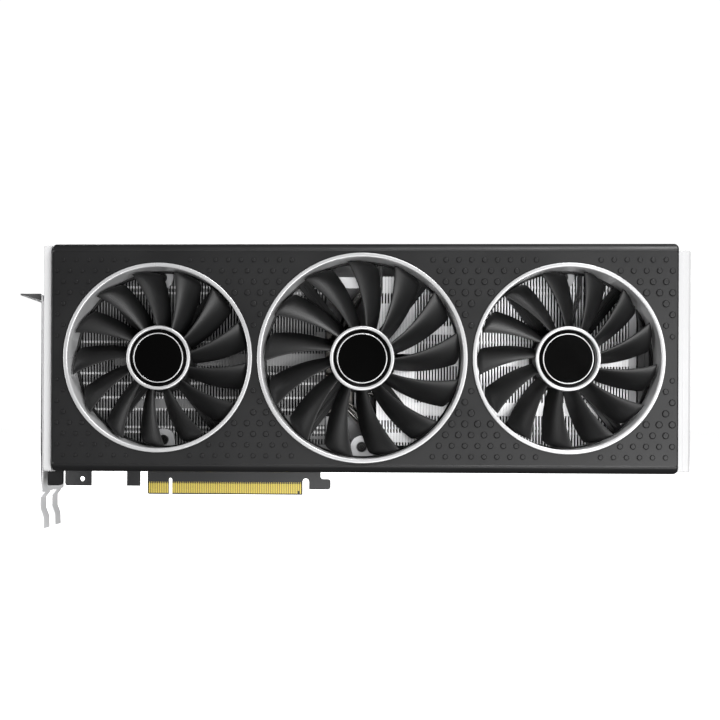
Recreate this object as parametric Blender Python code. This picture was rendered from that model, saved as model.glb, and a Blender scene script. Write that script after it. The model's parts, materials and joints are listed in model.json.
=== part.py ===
"""Triple-fan graphics card with a two-slot bracket and an x16 edge connector.

Frame: +X runs from the bracket towards the free end, the fans face -Y and +Z is away from the edge
connector. The origin is the centre of the long tongue's bottom face, in the board's mid-plane.
"""

import math

import bmesh
import bpy
from mathutils import Matrix, Vector

MM = 0.001
GAP = 0.3 * MM
CUT = 2.0 * MM

# Fans: one wide rotor between two smaller ones, all on one level.
FAN_PITCH = 103.6 * MM
FAN_MID_X = 68.6 * MM
FAN_Z = 72.3 * MM
FAN_NAMES = ("left", "centre", "right")
RING_RADII = (48.0 * MM, 53.0 * MM, 48.0 * MM)
BLADE_COUNT = 13
BLADE_START = (math.radians(12.3), math.radians(1.0), math.radians(11.9))
RING_SEGMENTS = 36
HUB_SEGMENTS = 24

# Shroud.
SHROUD_X = (-89.8 * MM, 227.4 * MM)
SHROUD_Z = (14.5 * MM, 130.0 * MM)
SHROUD_FRONT = -45.5 * MM
SHROUD_BACK = -14.0 * MM
SHROUD_WALL = 2.0 * MM
SHROUD_CORNER = 2.2 * MM
SHROUD_ROLL = 3.0 * MM
SIDE_ROLL_SHARE = 0.4
SHROUD_HOLE_INSET = 1.0 * MM
SIDE_VENT_COUNT = 10
SIDE_VENT_HALF = 10.0 * MM
SIDE_VENT_Y = (-33.0 * MM, -21.0 * MM)
EXHAUST_Z = (24.0 * MM, 120.0 * MM)
EXHAUST_Y = (-37.0 * MM, -12.0 * MM)
LUG_X = (-93.5 * MM, -86.0 * MM)
LUG_Y = (-37.0 * MM, -33.6 * MM)
LUG_Z = (6.7 * MM, 13.9 * MM)
LUG_ROOT = (-88.6 * MM, 15.6 * MM)
LUG_CORNER = 2.0 * MM

# Trim rings.
LIP_WIDTH = 2.1 * MM
LIP_THICK = 0.8 * MM
LIP_CHAMFER = 0.3 * MM
DUCT_WALL = 0.8 * MM
DUCT_BACK = -29.5 * MM

# Rotor and motor.
HUB_RADIUS = 16.2 * MM
HUB_WALL = 1.3 * MM
HUB_CHAMFER = 0.5 * MM
HUB_FRONT = -43.2 * MM
HUB_BACK = -30.4 * MM
HUB_RING = (14.7 * MM, 16.3 * MM)
HUB_RING_HEIGHT = 1.1 * MM
BADGE_RADIUS = 14.4 * MM
BADGE_THICK = 0.6 * MM
BADGE_CHAMFER = 0.2 * MM
TIP_CLEARANCE = 1.2 * MM
BLADE_FRONT = -42.6 * MM
BLADE_DEPTH = 11.2 * MM
BLADE_THICK = 1.3 * MM
BLADE_SWEEP = math.radians(0.43) / MM
BLADE_CURVE = 1.7
BLADE_RISE = 1.2 * MM
BLADE_TIP_FLATTENING = 0.12
BLADE_TIP_CHORD = 0.86
BLADE_EMBED = 0.7 * MM
BLADE_ROOT_WIDTH = math.radians(18.3)
BLADE_TIP_WIDTH = math.radians(17.3)
NOSE_CHORD = 0.05
SPAN_STEPS = 4
CHORD_STEPS = 3
MAGNET_THICK = 1.4 * MM
MAGNET_Y = (-40.5 * MM, -31.2 * MM)
SHAFT_Y = (-41.5 * MM, -28.6 * MM)
SHAFT_RADIUS = 1.5 * MM
SHAFT_CLEARANCE = 0.06 * MM
SLEEVE_RADIUS = 2.9 * MM
SLEEVE_Y = (-39.4 * MM, -28.7 * MM)
SHAFT_SEGMENTS = 20
POLE_COUNT = 6
POLE_RADII = (7.6 * MM, 12.6 * MM)
POLE_HALF_ANGLES = (18.0, 22.0)
STATOR_Y = (-38.6 * MM, -31.4 * MM)
BOSS_RADIUS = 4.3 * MM
BOSS_FRONT = -39.0 * MM
BOSS_FLOOR = -28.2 * MM
FRAME_FRONT = -29.0 * MM
FRAME_BACK = -26.6 * MM
FRAME_RING = (3.0 * MM, 0.5 * MM)
STRUT_INSET = 0.2 * MM
STRUT_REACH = (12.0 * MM, -1.5 * MM)
POST_ANGLES = (45.0, 135.0, 225.0, 315.0)
POST_RADIUS = 3.2 * MM
POST_OFFSET = 2.6 * MM
POST_EMBED = 0.1 * MM
STRUT_ANGLES = (52.0, 128.0, 232.0, 308.0)
STRUT_WIDTH = 6.0 * MM
SEAT_RADIUS = 17.3 * MM

# Cooler.
FIN_FRONT = -25.2 * MM
FIN_BACK = -12.9 * MM
FIN_PITCH = 4.62 * MM
FIN_THICK = 0.5 * MM
FIN_BASE = 0.8 * MM
FIN_Z = (27.8 * MM, 116.2 * MM)
LEFT_STACK_X = (-84.0 * MM, 49.0 * MM)
RIGHT_STACK_X = (77.5 * MM, 206.0 * MM)
BRIDGE_Z = (110.0 * MM, 115.8 * MM)
PIPE_RADIUS = 2.9 * MM
PIPE_Y = -9.6 * MM
PIPE_START_X = -74.0 * MM
PIPE_END_X = (198.0 * MM, 198.0 * MM, 198.0 * MM, 112.0 * MM)
BEND_STEPS = 8
BEND_START_X = 48.0 * MM
BEND_END_X = (80.0 * MM, 80.0 * MM, 80.0 * MM, 72.0 * MM)
PIPE_LEFT_Z = (53.5 * MM, 62.5 * MM, 71.5 * MM, 80.5 * MM)
PIPE_RIGHT_Z = (36.0 * MM, 56.0 * MM, 78.0 * MM, 110.0 * MM)
CORE_X = 40.0 * MM
CORE_Z = 67.0 * MM
COLD_PLATE_HALF = (23.0 * MM, 22.0 * MM)
COLD_PLATE_Y = (-6.3 * MM, -3.4 * MM)
COLD_PLATE_CHAMFER = 0.5 * MM
CARRIER_X = (-76.0 * MM, 209.6 * MM)
CARRIER_Z = (19.5 * MM, 125.0 * MM)
CARRIER_Y = (-6.2 * MM, -4.9 * MM)
CARRIER_WINDOW = 24.0 * MM
SHEET = 1.0 * MM
FOLD_EMBED = 0.2 * MM
TAB_FRONT = -26.2 * MM
TAB_BACK = -25.5 * MM
TAB_RADIUS = 6.0 * MM
TAB_HOLE = 2.4 * MM
TABS = ((-35.6 * MM, 30.3 * MM), (68.4 * MM, 27.0 * MM), (-36.8 * MM, 115.3 * MM), (172.5 * MM, 115.6 * MM))

# Fan leads: each runs up beside a strut, over the carrier and down to the header.
LEAD_RADIUS = 0.5 * MM
LEAD_OFFSET = 9.0 * MM
LEAD_NOTCH = 3.0 * MM
LEAD_RISE = ((4.5 * MM, 13.0 * MM), (5.5 * MM, 24.0 * MM), (LEAD_OFFSET, 36.0 * MM))
LEAD_LAYER = -25.9 * MM
LEAD_TOP = 126.5 * MM
LEAD_LANES = (-20.0 * MM, -16.0 * MM, -12.0 * MM)
LEAD_ENDS = (64.0 * MM, 68.0 * MM, 72.0 * MM)
LEAD_PLUG_Y = -2.8 * MM
LEAD_TURN = 2.0 * MM
HEADER_X = (60.0 * MM, 76.0 * MM)
HEADER_Y = (-4.6 * MM, -1.1 * MM)
HEADER_Z = (107.0 * MM, 112.0 * MM)

# Circuit board and its x16 edge connector.
BOARD_HALF = 0.8 * MM
BOARD_X = (-95.0 * MM, 180.0 * MM)
BOARD_TOP = 118.0 * MM
BOARD_BOTTOM = 15.0 * MM
BOARD_CORNER = 1.5 * MM
TAB_FOOT = 4.4 * MM
END_TAB_X = -80.5 * MM
MIDDLE_TAB_X = (-60.8 * MM, -53.5 * MM)
TONGUE_CHAMFER = 0.6 * MM
HOOK_SLOT_RADIUS = 1.8 * MM
HOOK_X = (45.7 * MM, 51.2 * MM)
HOOK_TOP = 7.2 * MM
HOOK_BOTTOM = 3.0 * MM
END_HOLE = (-85.5 * MM, 8.2 * MM, 1.35 * MM)
COOLER_HOLE_OFFSET = 29.0 * MM
COOLER_HOLE_RADIUS = 1.7 * MM
LONG_TONGUE_HALF = 35.825 * MM
KEY_WIDTH = 1.9 * MM
SHORT_TONGUE = 11.65 * MM
TONGUE_HEIGHT = 8.0 * MM
CONTACT_HEIGHT = 6.0 * MM
CONTACT_THICK = 0.1 * MM
CONTACT_MARGIN = 0.8 * MM
KEY_MARGIN = 0.7 * MM

# Parts on the board, behind the cooler.
PACKAGE_HALF = 18.0 * MM
PACKAGE_THICK = 1.2 * MM
DIE_HALF = (11.0 * MM, 9.0 * MM)
DIE_THICK = 2.0 * MM
MEMORY_OFFSET = 34.0 * MM
MEMORY_PITCH = 19.0 * MM
MEMORY_HALF = (5.5 * MM, 7.0 * MM)
MEMORY_THICK = 1.3 * MM
CHOKE_X = 100.0 * MM
CHOKE_FIRST_Z = 30.0 * MM
CHOKE_PITCH = 10.5 * MM
CHOKE_COUNT = 7
CHOKE_HALF = (4.0 * MM, 4.0 * MM)
CHOKE_THICK = 2.6 * MM
PAD_INSET = 0.5 * MM
PAD_EMBED = 0.3 * MM

# Backplate, end frames and bracket.
PLATE_Y = (3.4 * MM, 5.0 * MM)
PLATE_X = (-93.5 * MM, 240.4 * MM)
PLATE_Z = (14.8 * MM, 129.7 * MM)
PLATE_CORNER = 3.0 * MM
PLATE_WINDOW = 16.5 * MM
SPRING_HALF = 14.0 * MM
SPRING_THICK = 1.4 * MM
SPRING_HOLE_HALF = 9.0 * MM
SPRING_ARM_HALF = (43.5 * MM, 4.5 * MM)
SPRING_ARM_ANGLES = (45.0, 135.0)
SPRING_ARM_INSET = 0.1 * MM
END_X = (227.7 * MM, 241.0 * MM)
END_Z = (14.4 * MM, 130.6 * MM)
END_Y = (-20.0 * MM, 3.1 * MM)
END_WALL = 1.8 * MM
END_FRONT_WALL = 3.4 * MM
END_STEPS = (8.0 * MM, 4.5 * MM)
END_STEP_DEPTH = 0.8 * MM
END_CHAMFER = 1.5 * MM
END_VENT_COUNT = 9
END_VENT_LOW = 27.0 * MM
END_VENT_PITCH = 10.5 * MM
END_VENT_HEIGHT = 5.0 * MM
END_VENT_Y = (-13.0 * MM, -2.0 * MM)
STRIP_X = (-94.0 * MM, -90.1 * MM)
STRIP_Y = (-43.0 * MM, -9.6 * MM)
STRIP_Z = (14.3 * MM, 129.6 * MM)
STRIP_WINDOW_BACK = -15.0 * MM
BRACKET_OUT = -97.7 * MM
BRACKET_THICK = 0.9 * MM
BRACKET_Y = (-35.3 * MM, 3.3 * MM)
BRACKET_TOP = 105.9 * MM
BRACKET_FOOT = 1.0 * MM
FLANGE_END = -108.7 * MM
TONGUE_Y = (-26.1 * MM, -5.8 * MM)
TONGUE_HALF = 5.1 * MM
TONGUE_REACH = (0.0, 2.1 * MM, 2.1 * MM, 0.6 * MM, 0.4 * MM)
TONGUE_BEND_Z = (3.0 * MM, 0.0, -6.2 * MM, -10.2 * MM, -16.3 * MM)
TONGUE_SLOPES = (0.45, 0.22, -0.22, -0.22, 0.0)
TONGUE_ROOT = 3.2 * MM
PLATE_FOOT = 2.0 * MM
FOLD_DEPTH = 2.2 * MM
FOLD_Z = (16.0 * MM, 102.0 * MM)
BRACKET_EMBED = 0.1 * MM
GUSSET = (8.0 * MM, 3.4 * MM)
BRACKET_SLOT_COUNT = 10
BRACKET_SLOT_LOW = 14.0 * MM
BRACKET_SLOT_PITCH = 8.6 * MM
BRACKET_SLOT_HEIGHT = 4.6 * MM
BRACKET_SLOT_Y = (-31.5 * MM, -13.0 * MM)
NOTCH_X = (-105.8 * MM, -101.4 * MM)
NOTCH_BACK_Y = -2.0 * MM
NOTCH_MIDDLE_Y = (-22.4 * MM, -16.4 * MM)
SOCKET_Z = (22.0 * MM, 43.0 * MM, 64.0 * MM, 85.0 * MM)
SOCKET_NAMES = ("display_socket_1", "display_socket_2", "display_socket_3", "hdmi_socket")
SOCKET_HALF = (8.4 * MM, 8.4 * MM, 8.4 * MM, 7.5 * MM)
SOCKET_FRONT = (-8.6 * MM, -8.6 * MM, -8.6 * MM, -7.0 * MM)
SOCKET_X = (-98.3 * MM, -80.0 * MM)
SOCKET_WALL = 0.5 * MM
SOCKET_DEPTH = 12.0 * MM
POWER_X = (118.0 * MM, 141.0 * MM)
POWER_WIDTH = 19.6 * MM
POWER_Y = (-11.6 * MM, -1.1 * MM)
POWER_Z = (101.0 * MM, 117.5 * MM)
POWER_WALL = 1.1 * MM
POWER_DEPTH = 10.5 * MM
POWER_ROOM = 3.0 * MM
LATCH_WIDTH = 5.0 * MM
LATCH_REACH = 1.0 * MM
LATCH_EMBED = 0.5 * MM
LATCH_Z = (110.0 * MM, 114.0 * MM)

FINISHES = {
    "black_plastic": ((0.035, 0.035, 0.037), 0.5, 0.0),
    "rotor_black": ((0.02, 0.02, 0.021), 0.38, 0.0),
    "silver_trim": ((0.82, 0.82, 0.83), 0.25, 0.9),
    "pale_plastic": ((0.8, 0.8, 0.81), 0.4, 0.0),
    "fin_aluminium": ((0.85, 0.85, 0.86), 0.3, 1.0),
    "nickel_pipe": ((0.75, 0.73, 0.7), 0.25, 1.0),
    "copper": ((0.8, 0.45, 0.3), 0.35, 1.0),
    "grey_sheet": ((0.35, 0.35, 0.36), 0.45, 0.8),
    "board": ((0.02, 0.025, 0.024), 0.5, 0.0),
    "gold": ((0.85, 0.65, 0.2), 0.3, 1.0),
    "bracket_steel": ((0.78, 0.78, 0.79), 0.3, 1.0),
    "laminations": ((0.3, 0.3, 0.32), 0.5, 0.9),
    "magnet": ((0.08, 0.08, 0.085), 0.6, 0.4),
    "bronze": ((0.6, 0.42, 0.22), 0.4, 1.0),
    "steel": ((0.7, 0.7, 0.71), 0.2, 1.0),
    "chip": ((0.03, 0.03, 0.032), 0.55, 0.0),
    "backplate_black": ((0.03, 0.03, 0.032), 0.45, 0.6),
    "lead_black": ((0.03, 0.03, 0.03), 0.6, 0.0),
}


def clear_scene():
    for item in list(bpy.data.objects):
        bpy.data.objects.remove(item, do_unlink=True)


def finish(name):
    found = bpy.data.materials.get(name)
    if found:
        return found
    colour, roughness, metallic = FINISHES[name]
    made = bpy.data.materials.new(name)
    made.use_nodes = True
    shader = made.node_tree.nodes["Principled BSDF"]
    shader.inputs["Base Color"].default_value = (*colour, 1.0)
    shader.inputs["Roughness"].default_value = roughness
    shader.inputs["Metallic"].default_value = metallic
    return made


def place(name, bm, material=None, at=(0, 0, 0), smooth=False):
    """Turns a bmesh into a named object, with its faces pointing out."""
    bmesh.ops.recalc_face_normals(bm, faces=bm.faces)
    mesh = bpy.data.meshes.new(name)
    bm.to_mesh(mesh)
    bm.free()
    made = bpy.data.objects.new(name, mesh)
    made.location = at
    bpy.context.collection.objects.link(made)
    if material:
        dress(made, material, smooth)
    return made


def dress(item, material, smooth=False):
    item.data.materials.clear()
    item.data.materials.append(finish(material))
    if smooth:
        item.data.shade_smooth()
        item.data.set_sharp_from_angle(angle=math.radians(35.0))


def combine(target, tool, operation):
    """Applies one exact Boolean and removes its tool."""
    step = target.modifiers.new("boolean", "BOOLEAN")
    step.operation = operation
    step.solver = "EXACT"
    step.object = tool
    graph = bpy.context.evaluated_depsgraph_get()
    mesh = bpy.data.meshes.new_from_object(target.evaluated_get(graph))
    target.modifiers.clear()
    target.data = mesh
    bpy.data.objects.remove(tool, do_unlink=True)


def add_box(bm, x, y, z, turn=Matrix()):
    """Adds a closed box that spans the three (low, high) ranges, then turns it."""
    size = Vector((x[1] - x[0], y[1] - y[0], z[1] - z[0]))
    middle = Vector((x[0] + x[1], y[0] + y[1], z[0] + z[1])) / 2
    matrix = turn @ Matrix.Translation(middle) @ Matrix.Diagonal((*size, 1.0))
    bmesh.ops.create_cube(bm, size=1.0, matrix=matrix)


def boxes(name, ranges, material=None):
    bm = bmesh.new()
    for x, y, z in ranges:
        add_box(bm, x, y, z)
    return place(name, bm, material)


def extruded(name, outlines, axis, low, high, material=None):
    """Extrudes closed outlines along Y (points are x, z) or along X or Z (points are y, z or x, y)."""
    bm = bmesh.new()
    for outline in outlines:
        start = []
        end = []
        for u, v in outline:
            if axis == "Y":
                start.append(bm.verts.new((u, low, v)))
                end.append(bm.verts.new((u, high, v)))
            elif axis == "X":
                start.append(bm.verts.new((low, u, v)))
                end.append(bm.verts.new((high, u, v)))
            else:
                start.append(bm.verts.new((u, v, low)))
                end.append(bm.verts.new((u, v, high)))
        bm.faces.new(start)
        bm.faces.new(list(reversed(end)))
        for i in range(len(start)):
            j = (i + 1) % len(start)
            bm.faces.new((start[i], end[i], end[j], start[j]))
    return place(name, bm, material)


def turned(name, profile, segments, closed, material=None, at=(0, 0, 0)):
    """Revolves (radius, y) points about the Y axis; an open profile starts and ends on the axis."""
    bm = bmesh.new()
    rings = []
    for radius, y in profile:
        if radius == 0.0:
            rings.append([bm.verts.new((0, y, 0))])
            continue
        turn = [2 * math.pi * k / segments for k in range(segments)]
        rings.append([bm.verts.new((radius * math.cos(a), y, radius * math.sin(a))) for a in turn])
    count = len(rings)
    for i in range(count if closed else count - 1):
        bridge_rings(bm, rings[i], rings[(i + 1) % count], segments)
    return place(name, bm, material, at, smooth=bool(material))


def bridge_rings(bm, first, second, segments):
    for k in range(segments):
        n = (k + 1) % segments
        if len(first) == 1:
            bm.faces.new((first[0], second[k], second[n]))
        elif len(second) == 1:
            bm.faces.new((first[k], second[0], first[n]))
        else:
            bm.faces.new((first[k], second[k], second[n], first[n]))


def disc(name, centre, radius, y, segments, material=None):
    profile = ((0.0, y[0]), (radius, y[0]), (radius, y[1]), (0.0, y[1]))
    return turned(name, profile, segments, False, material, (centre[0], 0, centre[1]))


def arc(centre, radius, start, end, steps):
    """Points on an arc in degrees, both ends included."""
    points = []
    for k in range(steps + 1):
        angle = math.radians(start + (end - start) * k / steps)
        points.append((centre[0] + radius * math.cos(angle), centre[1] + radius * math.sin(angle)))
    return points


def rounded_rectangle(x, z, radius, steps=3):
    corners = (
        ((x[1] - radius, z[0] + radius), -90, 0),
        ((x[1] - radius, z[1] - radius), 0, 90),
        ((x[0] + radius, z[1] - radius), 90, 180),
        ((x[0] + radius, z[0] + radius), 180, 270),
    )
    points = []
    for centre, start, end in corners:
        points += arc(centre, radius, start, end, steps)
    return points


def fan_centre(index):
    return FAN_MID_X + (index - 1) * FAN_PITCH, FAN_Z


# Shroud and trim.


def shroud_block():
    """The shroud's outer form: a rounded rectangle whose front edge rolls over."""
    loops = [(SHROUD_BACK, 0.0)]
    for k in range(4):
        angle = math.radians(90.0 * k / 3)
        front = SHROUD_FRONT + SHROUD_ROLL * (1 - math.sin(angle))
        loops.append((front, 1 - math.cos(angle)))
    bm = bmesh.new()
    rings = []
    for y, share in loops:
        inset_z = SHROUD_ROLL * share
        inset_x = SIDE_ROLL_SHARE * SHROUD_ROLL * share
        x = (SHROUD_X[0] + inset_x, SHROUD_X[1] - inset_x)
        z = (SHROUD_Z[0] + inset_z, SHROUD_Z[1] - inset_z)
        outline = rounded_rectangle(x, z, SHROUD_CORNER * (1 - SIDE_ROLL_SHARE * share))
        rings.append([bm.verts.new((u, y, v)) for u, v in outline])
    bm.faces.new(rings[0])
    bm.faces.new(rings[-1])
    for first, second in zip(rings, rings[1:]):
        bridge_rings(bm, first, second, len(first))
    return place("shroud", bm)


def shroud_lug():
    """The foot under the bracket end that a bracket screw holds."""
    left, right = LUG_X
    low, shoulder = LUG_Z
    outline = [(left, shoulder), (left, low)]
    outline += arc((right - LUG_CORNER, low + LUG_CORNER), LUG_CORNER, -90, 0, 3)
    outline += [(right, LUG_ROOT[1]), LUG_ROOT, (LUG_ROOT[0], shoulder)]
    return extruded("lug", [outline], "Y", *LUG_Y)


def shroud_vents():
    """Slots in the top and bottom walls and the open bracket end."""
    pitch = (SHROUD_X[1] - SHROUD_X[0]) / SIDE_VENT_COUNT
    spans = []
    for k in range(SIDE_VENT_COUNT):
        middle = SHROUD_X[0] + pitch * (k + 0.5)
        for wall in SHROUD_Z:
            through = (wall - 2 * CUT, wall + 2 * CUT)
            spans.append(((middle - SIDE_VENT_HALF, middle + SIDE_VENT_HALF), SIDE_VENT_Y, through))
    end = SHROUD_X[0]
    spans.append(((end - CUT, end + 2 * CUT), EXHAUST_Y, EXHAUST_Z))
    return boxes("vents", spans)


def make_shroud():
    shroud = shroud_block()
    inner_x = (SHROUD_X[0] + SHROUD_WALL, SHROUD_X[1] - SHROUD_WALL)
    inner_z = (SHROUD_Z[0] + SHROUD_WALL, SHROUD_Z[1] - SHROUD_WALL)
    inner_y = (SHROUD_FRONT + SHROUD_WALL, SHROUD_BACK + CUT)
    combine(shroud, boxes("cavity", [(inner_x, inner_y, inner_z)]), "DIFFERENCE")
    for index, radius in enumerate(RING_RADII):
        span = (SHROUD_FRONT - CUT, SHROUD_FRONT + SHROUD_WALL + CUT)
        hole = disc("hole", fan_centre(index), radius - SHROUD_HOLE_INSET, span, RING_SEGMENTS)
        combine(shroud, hole, "DIFFERENCE")
    combine(shroud, shroud_lug(), "UNION")
    combine(shroud, shroud_vents(), "DIFFERENCE")
    dress(shroud, "black_plastic")


def make_trim_ring(index):
    radius = RING_RADII[index]
    lip_back = SHROUD_FRONT - GAP
    lip_front = lip_back - LIP_THICK
    inner = radius - LIP_WIDTH
    outer = inner + DUCT_WALL
    profile = (
        (radius, lip_back),
        (radius - LIP_CHAMFER, lip_front),
        (inner + LIP_CHAMFER, lip_front),
        (inner, lip_back),
        (inner, DUCT_BACK),
        (outer, DUCT_BACK),
        (outer, lip_back),
    )
    x, z = fan_centre(index)
    turned("trim_ring_" + FAN_NAMES[index], profile, RING_SEGMENTS, True, "silver_trim", (x, 0, z))


# Fans.


def blade_point(radius, chord, root, tip, start):
    """A point on the blade's middle surface; chord runs from the leading edge to the trailing edge."""
    span = max(0.0, (radius - root) / (tip - root))
    width = BLADE_ROOT_WIDTH + (BLADE_TIP_WIDTH - BLADE_ROOT_WIDTH) * span
    angle = start + BLADE_SWEEP * (radius - root) - width * chord
    depth = BLADE_DEPTH * (1 - BLADE_TIP_FLATTENING * span)
    y = BLADE_FRONT + BLADE_RISE * (1 - span) + depth * chord**BLADE_CURVE
    return Vector((radius * math.cos(angle), y, radius * math.sin(angle)))


def blade_normal(radius, chord, root, tip, start):
    step = 0.02
    here = blade_point(radius, chord, root, tip, start)
    along = blade_point(radius, chord + step, root, tip, start) - here
    outward = blade_point(radius + step * MM, chord, root, tip, start) - here
    return along.cross(outward).normalized()


def add_blade(bm, tip, start):
    """Adds one closed blade: two offset grids joined round their edge."""
    root = HUB_RADIUS - BLADE_EMBED
    sides = []
    for offset in (-BLADE_THICK / 2, BLADE_THICK / 2):
        grid = []
        for i in range(SPAN_STEPS):
            radius = root + (tip - root) * i / (SPAN_STEPS - 1)
            end = BLADE_TIP_CHORD if i == SPAN_STEPS - 1 else 1.0
            row = []
            for j in range(CHORD_STEPS + 1):
                chord = end * j / CHORD_STEPS
                normal = blade_normal(radius, max(chord, NOSE_CHORD), root, tip, start)
                point = blade_point(radius, chord, root, tip, start)
                row.append(bm.verts.new(point + normal * offset))
            grid.append(row)
        sides.append(grid)
    stitch_grids(bm, sides[0], sides[1])


def stitch_grids(bm, first, second):
    rows = len(first)
    columns = len(first[0])
    for i in range(rows - 1):
        for j in range(columns - 1):
            for grid in (first, second):
                bm.faces.new((grid[i][j], grid[i][j + 1], grid[i + 1][j + 1], grid[i + 1][j]))
    edge = [(0, j) for j in range(columns)]
    edge += [(i, columns - 1) for i in range(1, rows)]
    edge += [(rows - 1, j) for j in range(columns - 2, -1, -1)]
    edge += [(i, 0) for i in range(rows - 2, 0, -1)]
    for k, (i, j) in enumerate(edge):
        p, q = edge[(k + 1) % len(edge)]
        bm.faces.new((first[i][j], first[p][q], second[p][q], second[i][j]))


def make_rotor(index):
    name = "rotor_" + FAN_NAMES[index]
    inner = HUB_RADIUS - HUB_WALL
    roof = HUB_FRONT + HUB_WALL
    profile = (
        (0.0, HUB_FRONT),
        (HUB_RADIUS - HUB_CHAMFER, HUB_FRONT),
        (HUB_RADIUS, HUB_FRONT + HUB_CHAMFER),
        (HUB_RADIUS, HUB_BACK),
        (inner, HUB_BACK),
        (inner, roof),
        (0.0, roof),
    )
    x, z = fan_centre(index)
    rotor = turned(name, profile, HUB_SEGMENTS, False, None, (x, 0, z))
    bm = bmesh.new()
    tip = RING_RADII[index] - LIP_WIDTH - TIP_CLEARANCE
    for k in range(BLADE_COUNT):
        add_blade(bm, tip, BLADE_START[index] + 2 * math.pi * k / BLADE_COUNT)
    combine(rotor, place("blades", bm, None, (x, 0, z)), "UNION")
    dress(rotor, "rotor_black", smooth=True)


def make_hub_trim(index):
    x, z = fan_centre(index)
    back = HUB_FRONT - GAP
    inner, outer = HUB_RING
    top = back - HUB_RING_HEIGHT
    ring = ((outer, back), (outer - GAP, top), (inner + GAP, top), (inner, back))
    turned("hub_ring_" + FAN_NAMES[index], ring, HUB_SEGMENTS, True, "silver_trim", (x, 0, z))
    front = back - BADGE_THICK
    rim = BADGE_RADIUS
    badge = ((0.0, front), (rim - GAP, front), (rim, front + BADGE_CHAMFER), (rim, back), (0.0, back))
    turned("hub_badge_" + FAN_NAMES[index], badge, HUB_SEGMENTS, False, "black_plastic", (x, 0, z))


def ring_profile(inner, outer, front, back):
    return ((outer, front), (outer, back), (inner, back), (inner, front))


def make_motor(index):
    """The shaft and magnet turn with the rotor; the sleeve and stator stay with the frame."""
    name = FAN_NAMES[index]
    x, z = fan_centre(index)
    at = (x, 0, z)
    inner = HUB_RADIUS - HUB_WALL - GAP
    magnets = ring_profile(inner - MAGNET_THICK, inner, *MAGNET_Y)
    turned("magnet_ring_" + name, magnets, HUB_SEGMENTS, True, "magnet", at)
    front, back = SHAFT_Y
    shaft = ((0.0, front), (SHAFT_RADIUS, front), (SHAFT_RADIUS, back), (0.0, back))
    turned("shaft_" + name, shaft, SHAFT_SEGMENTS, False, "steel", at)
    bore = SHAFT_RADIUS + SHAFT_CLEARANCE
    sleeve = ring_profile(bore, SLEEVE_RADIUS, *SLEEVE_Y)
    turned("bearing_sleeve_" + name, sleeve, SHAFT_SEGMENTS, True, "bronze", at)
    make_stator("stator_" + name, x, z)


def make_stator(name, x, z):
    """Six poles round a bored core, as one stack of laminations."""
    root, pole = POLE_RADII
    root_half, pole_half = POLE_HALF_ANGLES
    outline = []
    for k in range(POLE_COUNT):
        middle = 360.0 * k / POLE_COUNT
        outline += [(root, middle - root_half), (pole, middle - pole_half), (pole, middle)]
        outline += [(pole, middle + pole_half), (root, middle + root_half)]
    points = [(r * math.cos(math.radians(a)), r * math.sin(math.radians(a))) for r, a in outline]
    stator = extruded(name, [points], "Y", *STATOR_Y)
    stator.location = (x, 0, z)
    through = (STATOR_Y[0] - CUT, STATOR_Y[1] + CUT)
    bore = disc("bore", (x, z), BOSS_RADIUS + GAP, through, SHAFT_SEGMENTS)
    combine(stator, bore, "DIFFERENCE")
    dress(stator, "laminations")


def make_fan_frame(index):
    """The ring, struts, posts and motor seat that carry one fan on the shroud."""
    name = "fan_frame_" + FAN_NAMES[index]
    radius = RING_RADII[index]
    x, z = fan_centre(index)
    at = (x, 0, z)
    inner, outer = radius - FRAME_RING[0], radius + FRAME_RING[1]
    rim = ring_profile(inner, outer, FRAME_FRONT, FRAME_BACK)
    frame = turned(name, rim, RING_SEGMENTS, True, None, at)
    seat = (
        (0.0, FRAME_BACK),
        (SEAT_RADIUS, FRAME_BACK),
        (SEAT_RADIUS, FRAME_FRONT),
        (BOSS_RADIUS, FRAME_FRONT),
        (BOSS_RADIUS, BOSS_FRONT),
        (SLEEVE_RADIUS + GAP, BOSS_FRONT),
        (SLEEVE_RADIUS + GAP, BOSS_FLOOR),
        (0.0, BOSS_FLOOR),
    )
    combine(frame, struts(radius, at), "UNION")
    combine(frame, turned("seat", seat, HUB_SEGMENTS, False, None, at), "UNION")
    for angle in POST_ANGLES:
        combine(frame, post(radius, angle, x, z), "UNION")
    dress(frame, "black_plastic", smooth=True)


def struts(radius, at):
    bm = bmesh.new()
    half = STRUT_WIDTH / 2
    reach = (STRUT_REACH[0], radius + STRUT_REACH[1])
    layer = (FRAME_FRONT + STRUT_INSET, FRAME_BACK - STRUT_INSET)
    for angle in STRUT_ANGLES:
        add_box(bm, reach, layer, (-half, half), Matrix.Rotation(math.radians(-angle), 4, "Y"))
    return place("struts", bm, None, at)


def post(radius, angle, x, z):
    reach = radius + POST_OFFSET
    centre = (x + reach * math.cos(math.radians(angle)), z + reach * math.sin(math.radians(angle)))
    span = (SHROUD_FRONT + SHROUD_WALL + GAP, FRAME_BACK - POST_EMBED)
    return disc("post", centre, POST_RADIUS, span, 8)


# Cooler.


def make_fin_stack(name, span):
    """Upright fins, square to the card's length, on one thin base."""
    count = int((span[1] - span[0] - FIN_THICK) / FIN_PITCH) + 1
    start = (span[0] + span[1] - (count - 1) * FIN_PITCH) / 2
    top = FIN_BACK - FIN_BASE
    outline = [(start - FIN_THICK / 2, FIN_BACK)]
    for k in range(count):
        left = start + k * FIN_PITCH - FIN_THICK / 2
        right = left + FIN_THICK
        outline += [(left, top)] if k else []
        outline += [(left, FIN_FRONT), (right, FIN_FRONT)]
        outline += [(right, top)] if k < count - 1 else []
    outline.append((start + (count - 1) * FIN_PITCH + FIN_THICK / 2, FIN_BACK))
    return extruded(name, [outline], "Z", FIN_Z[0], FIN_Z[1], "fin_aluminium")


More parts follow.
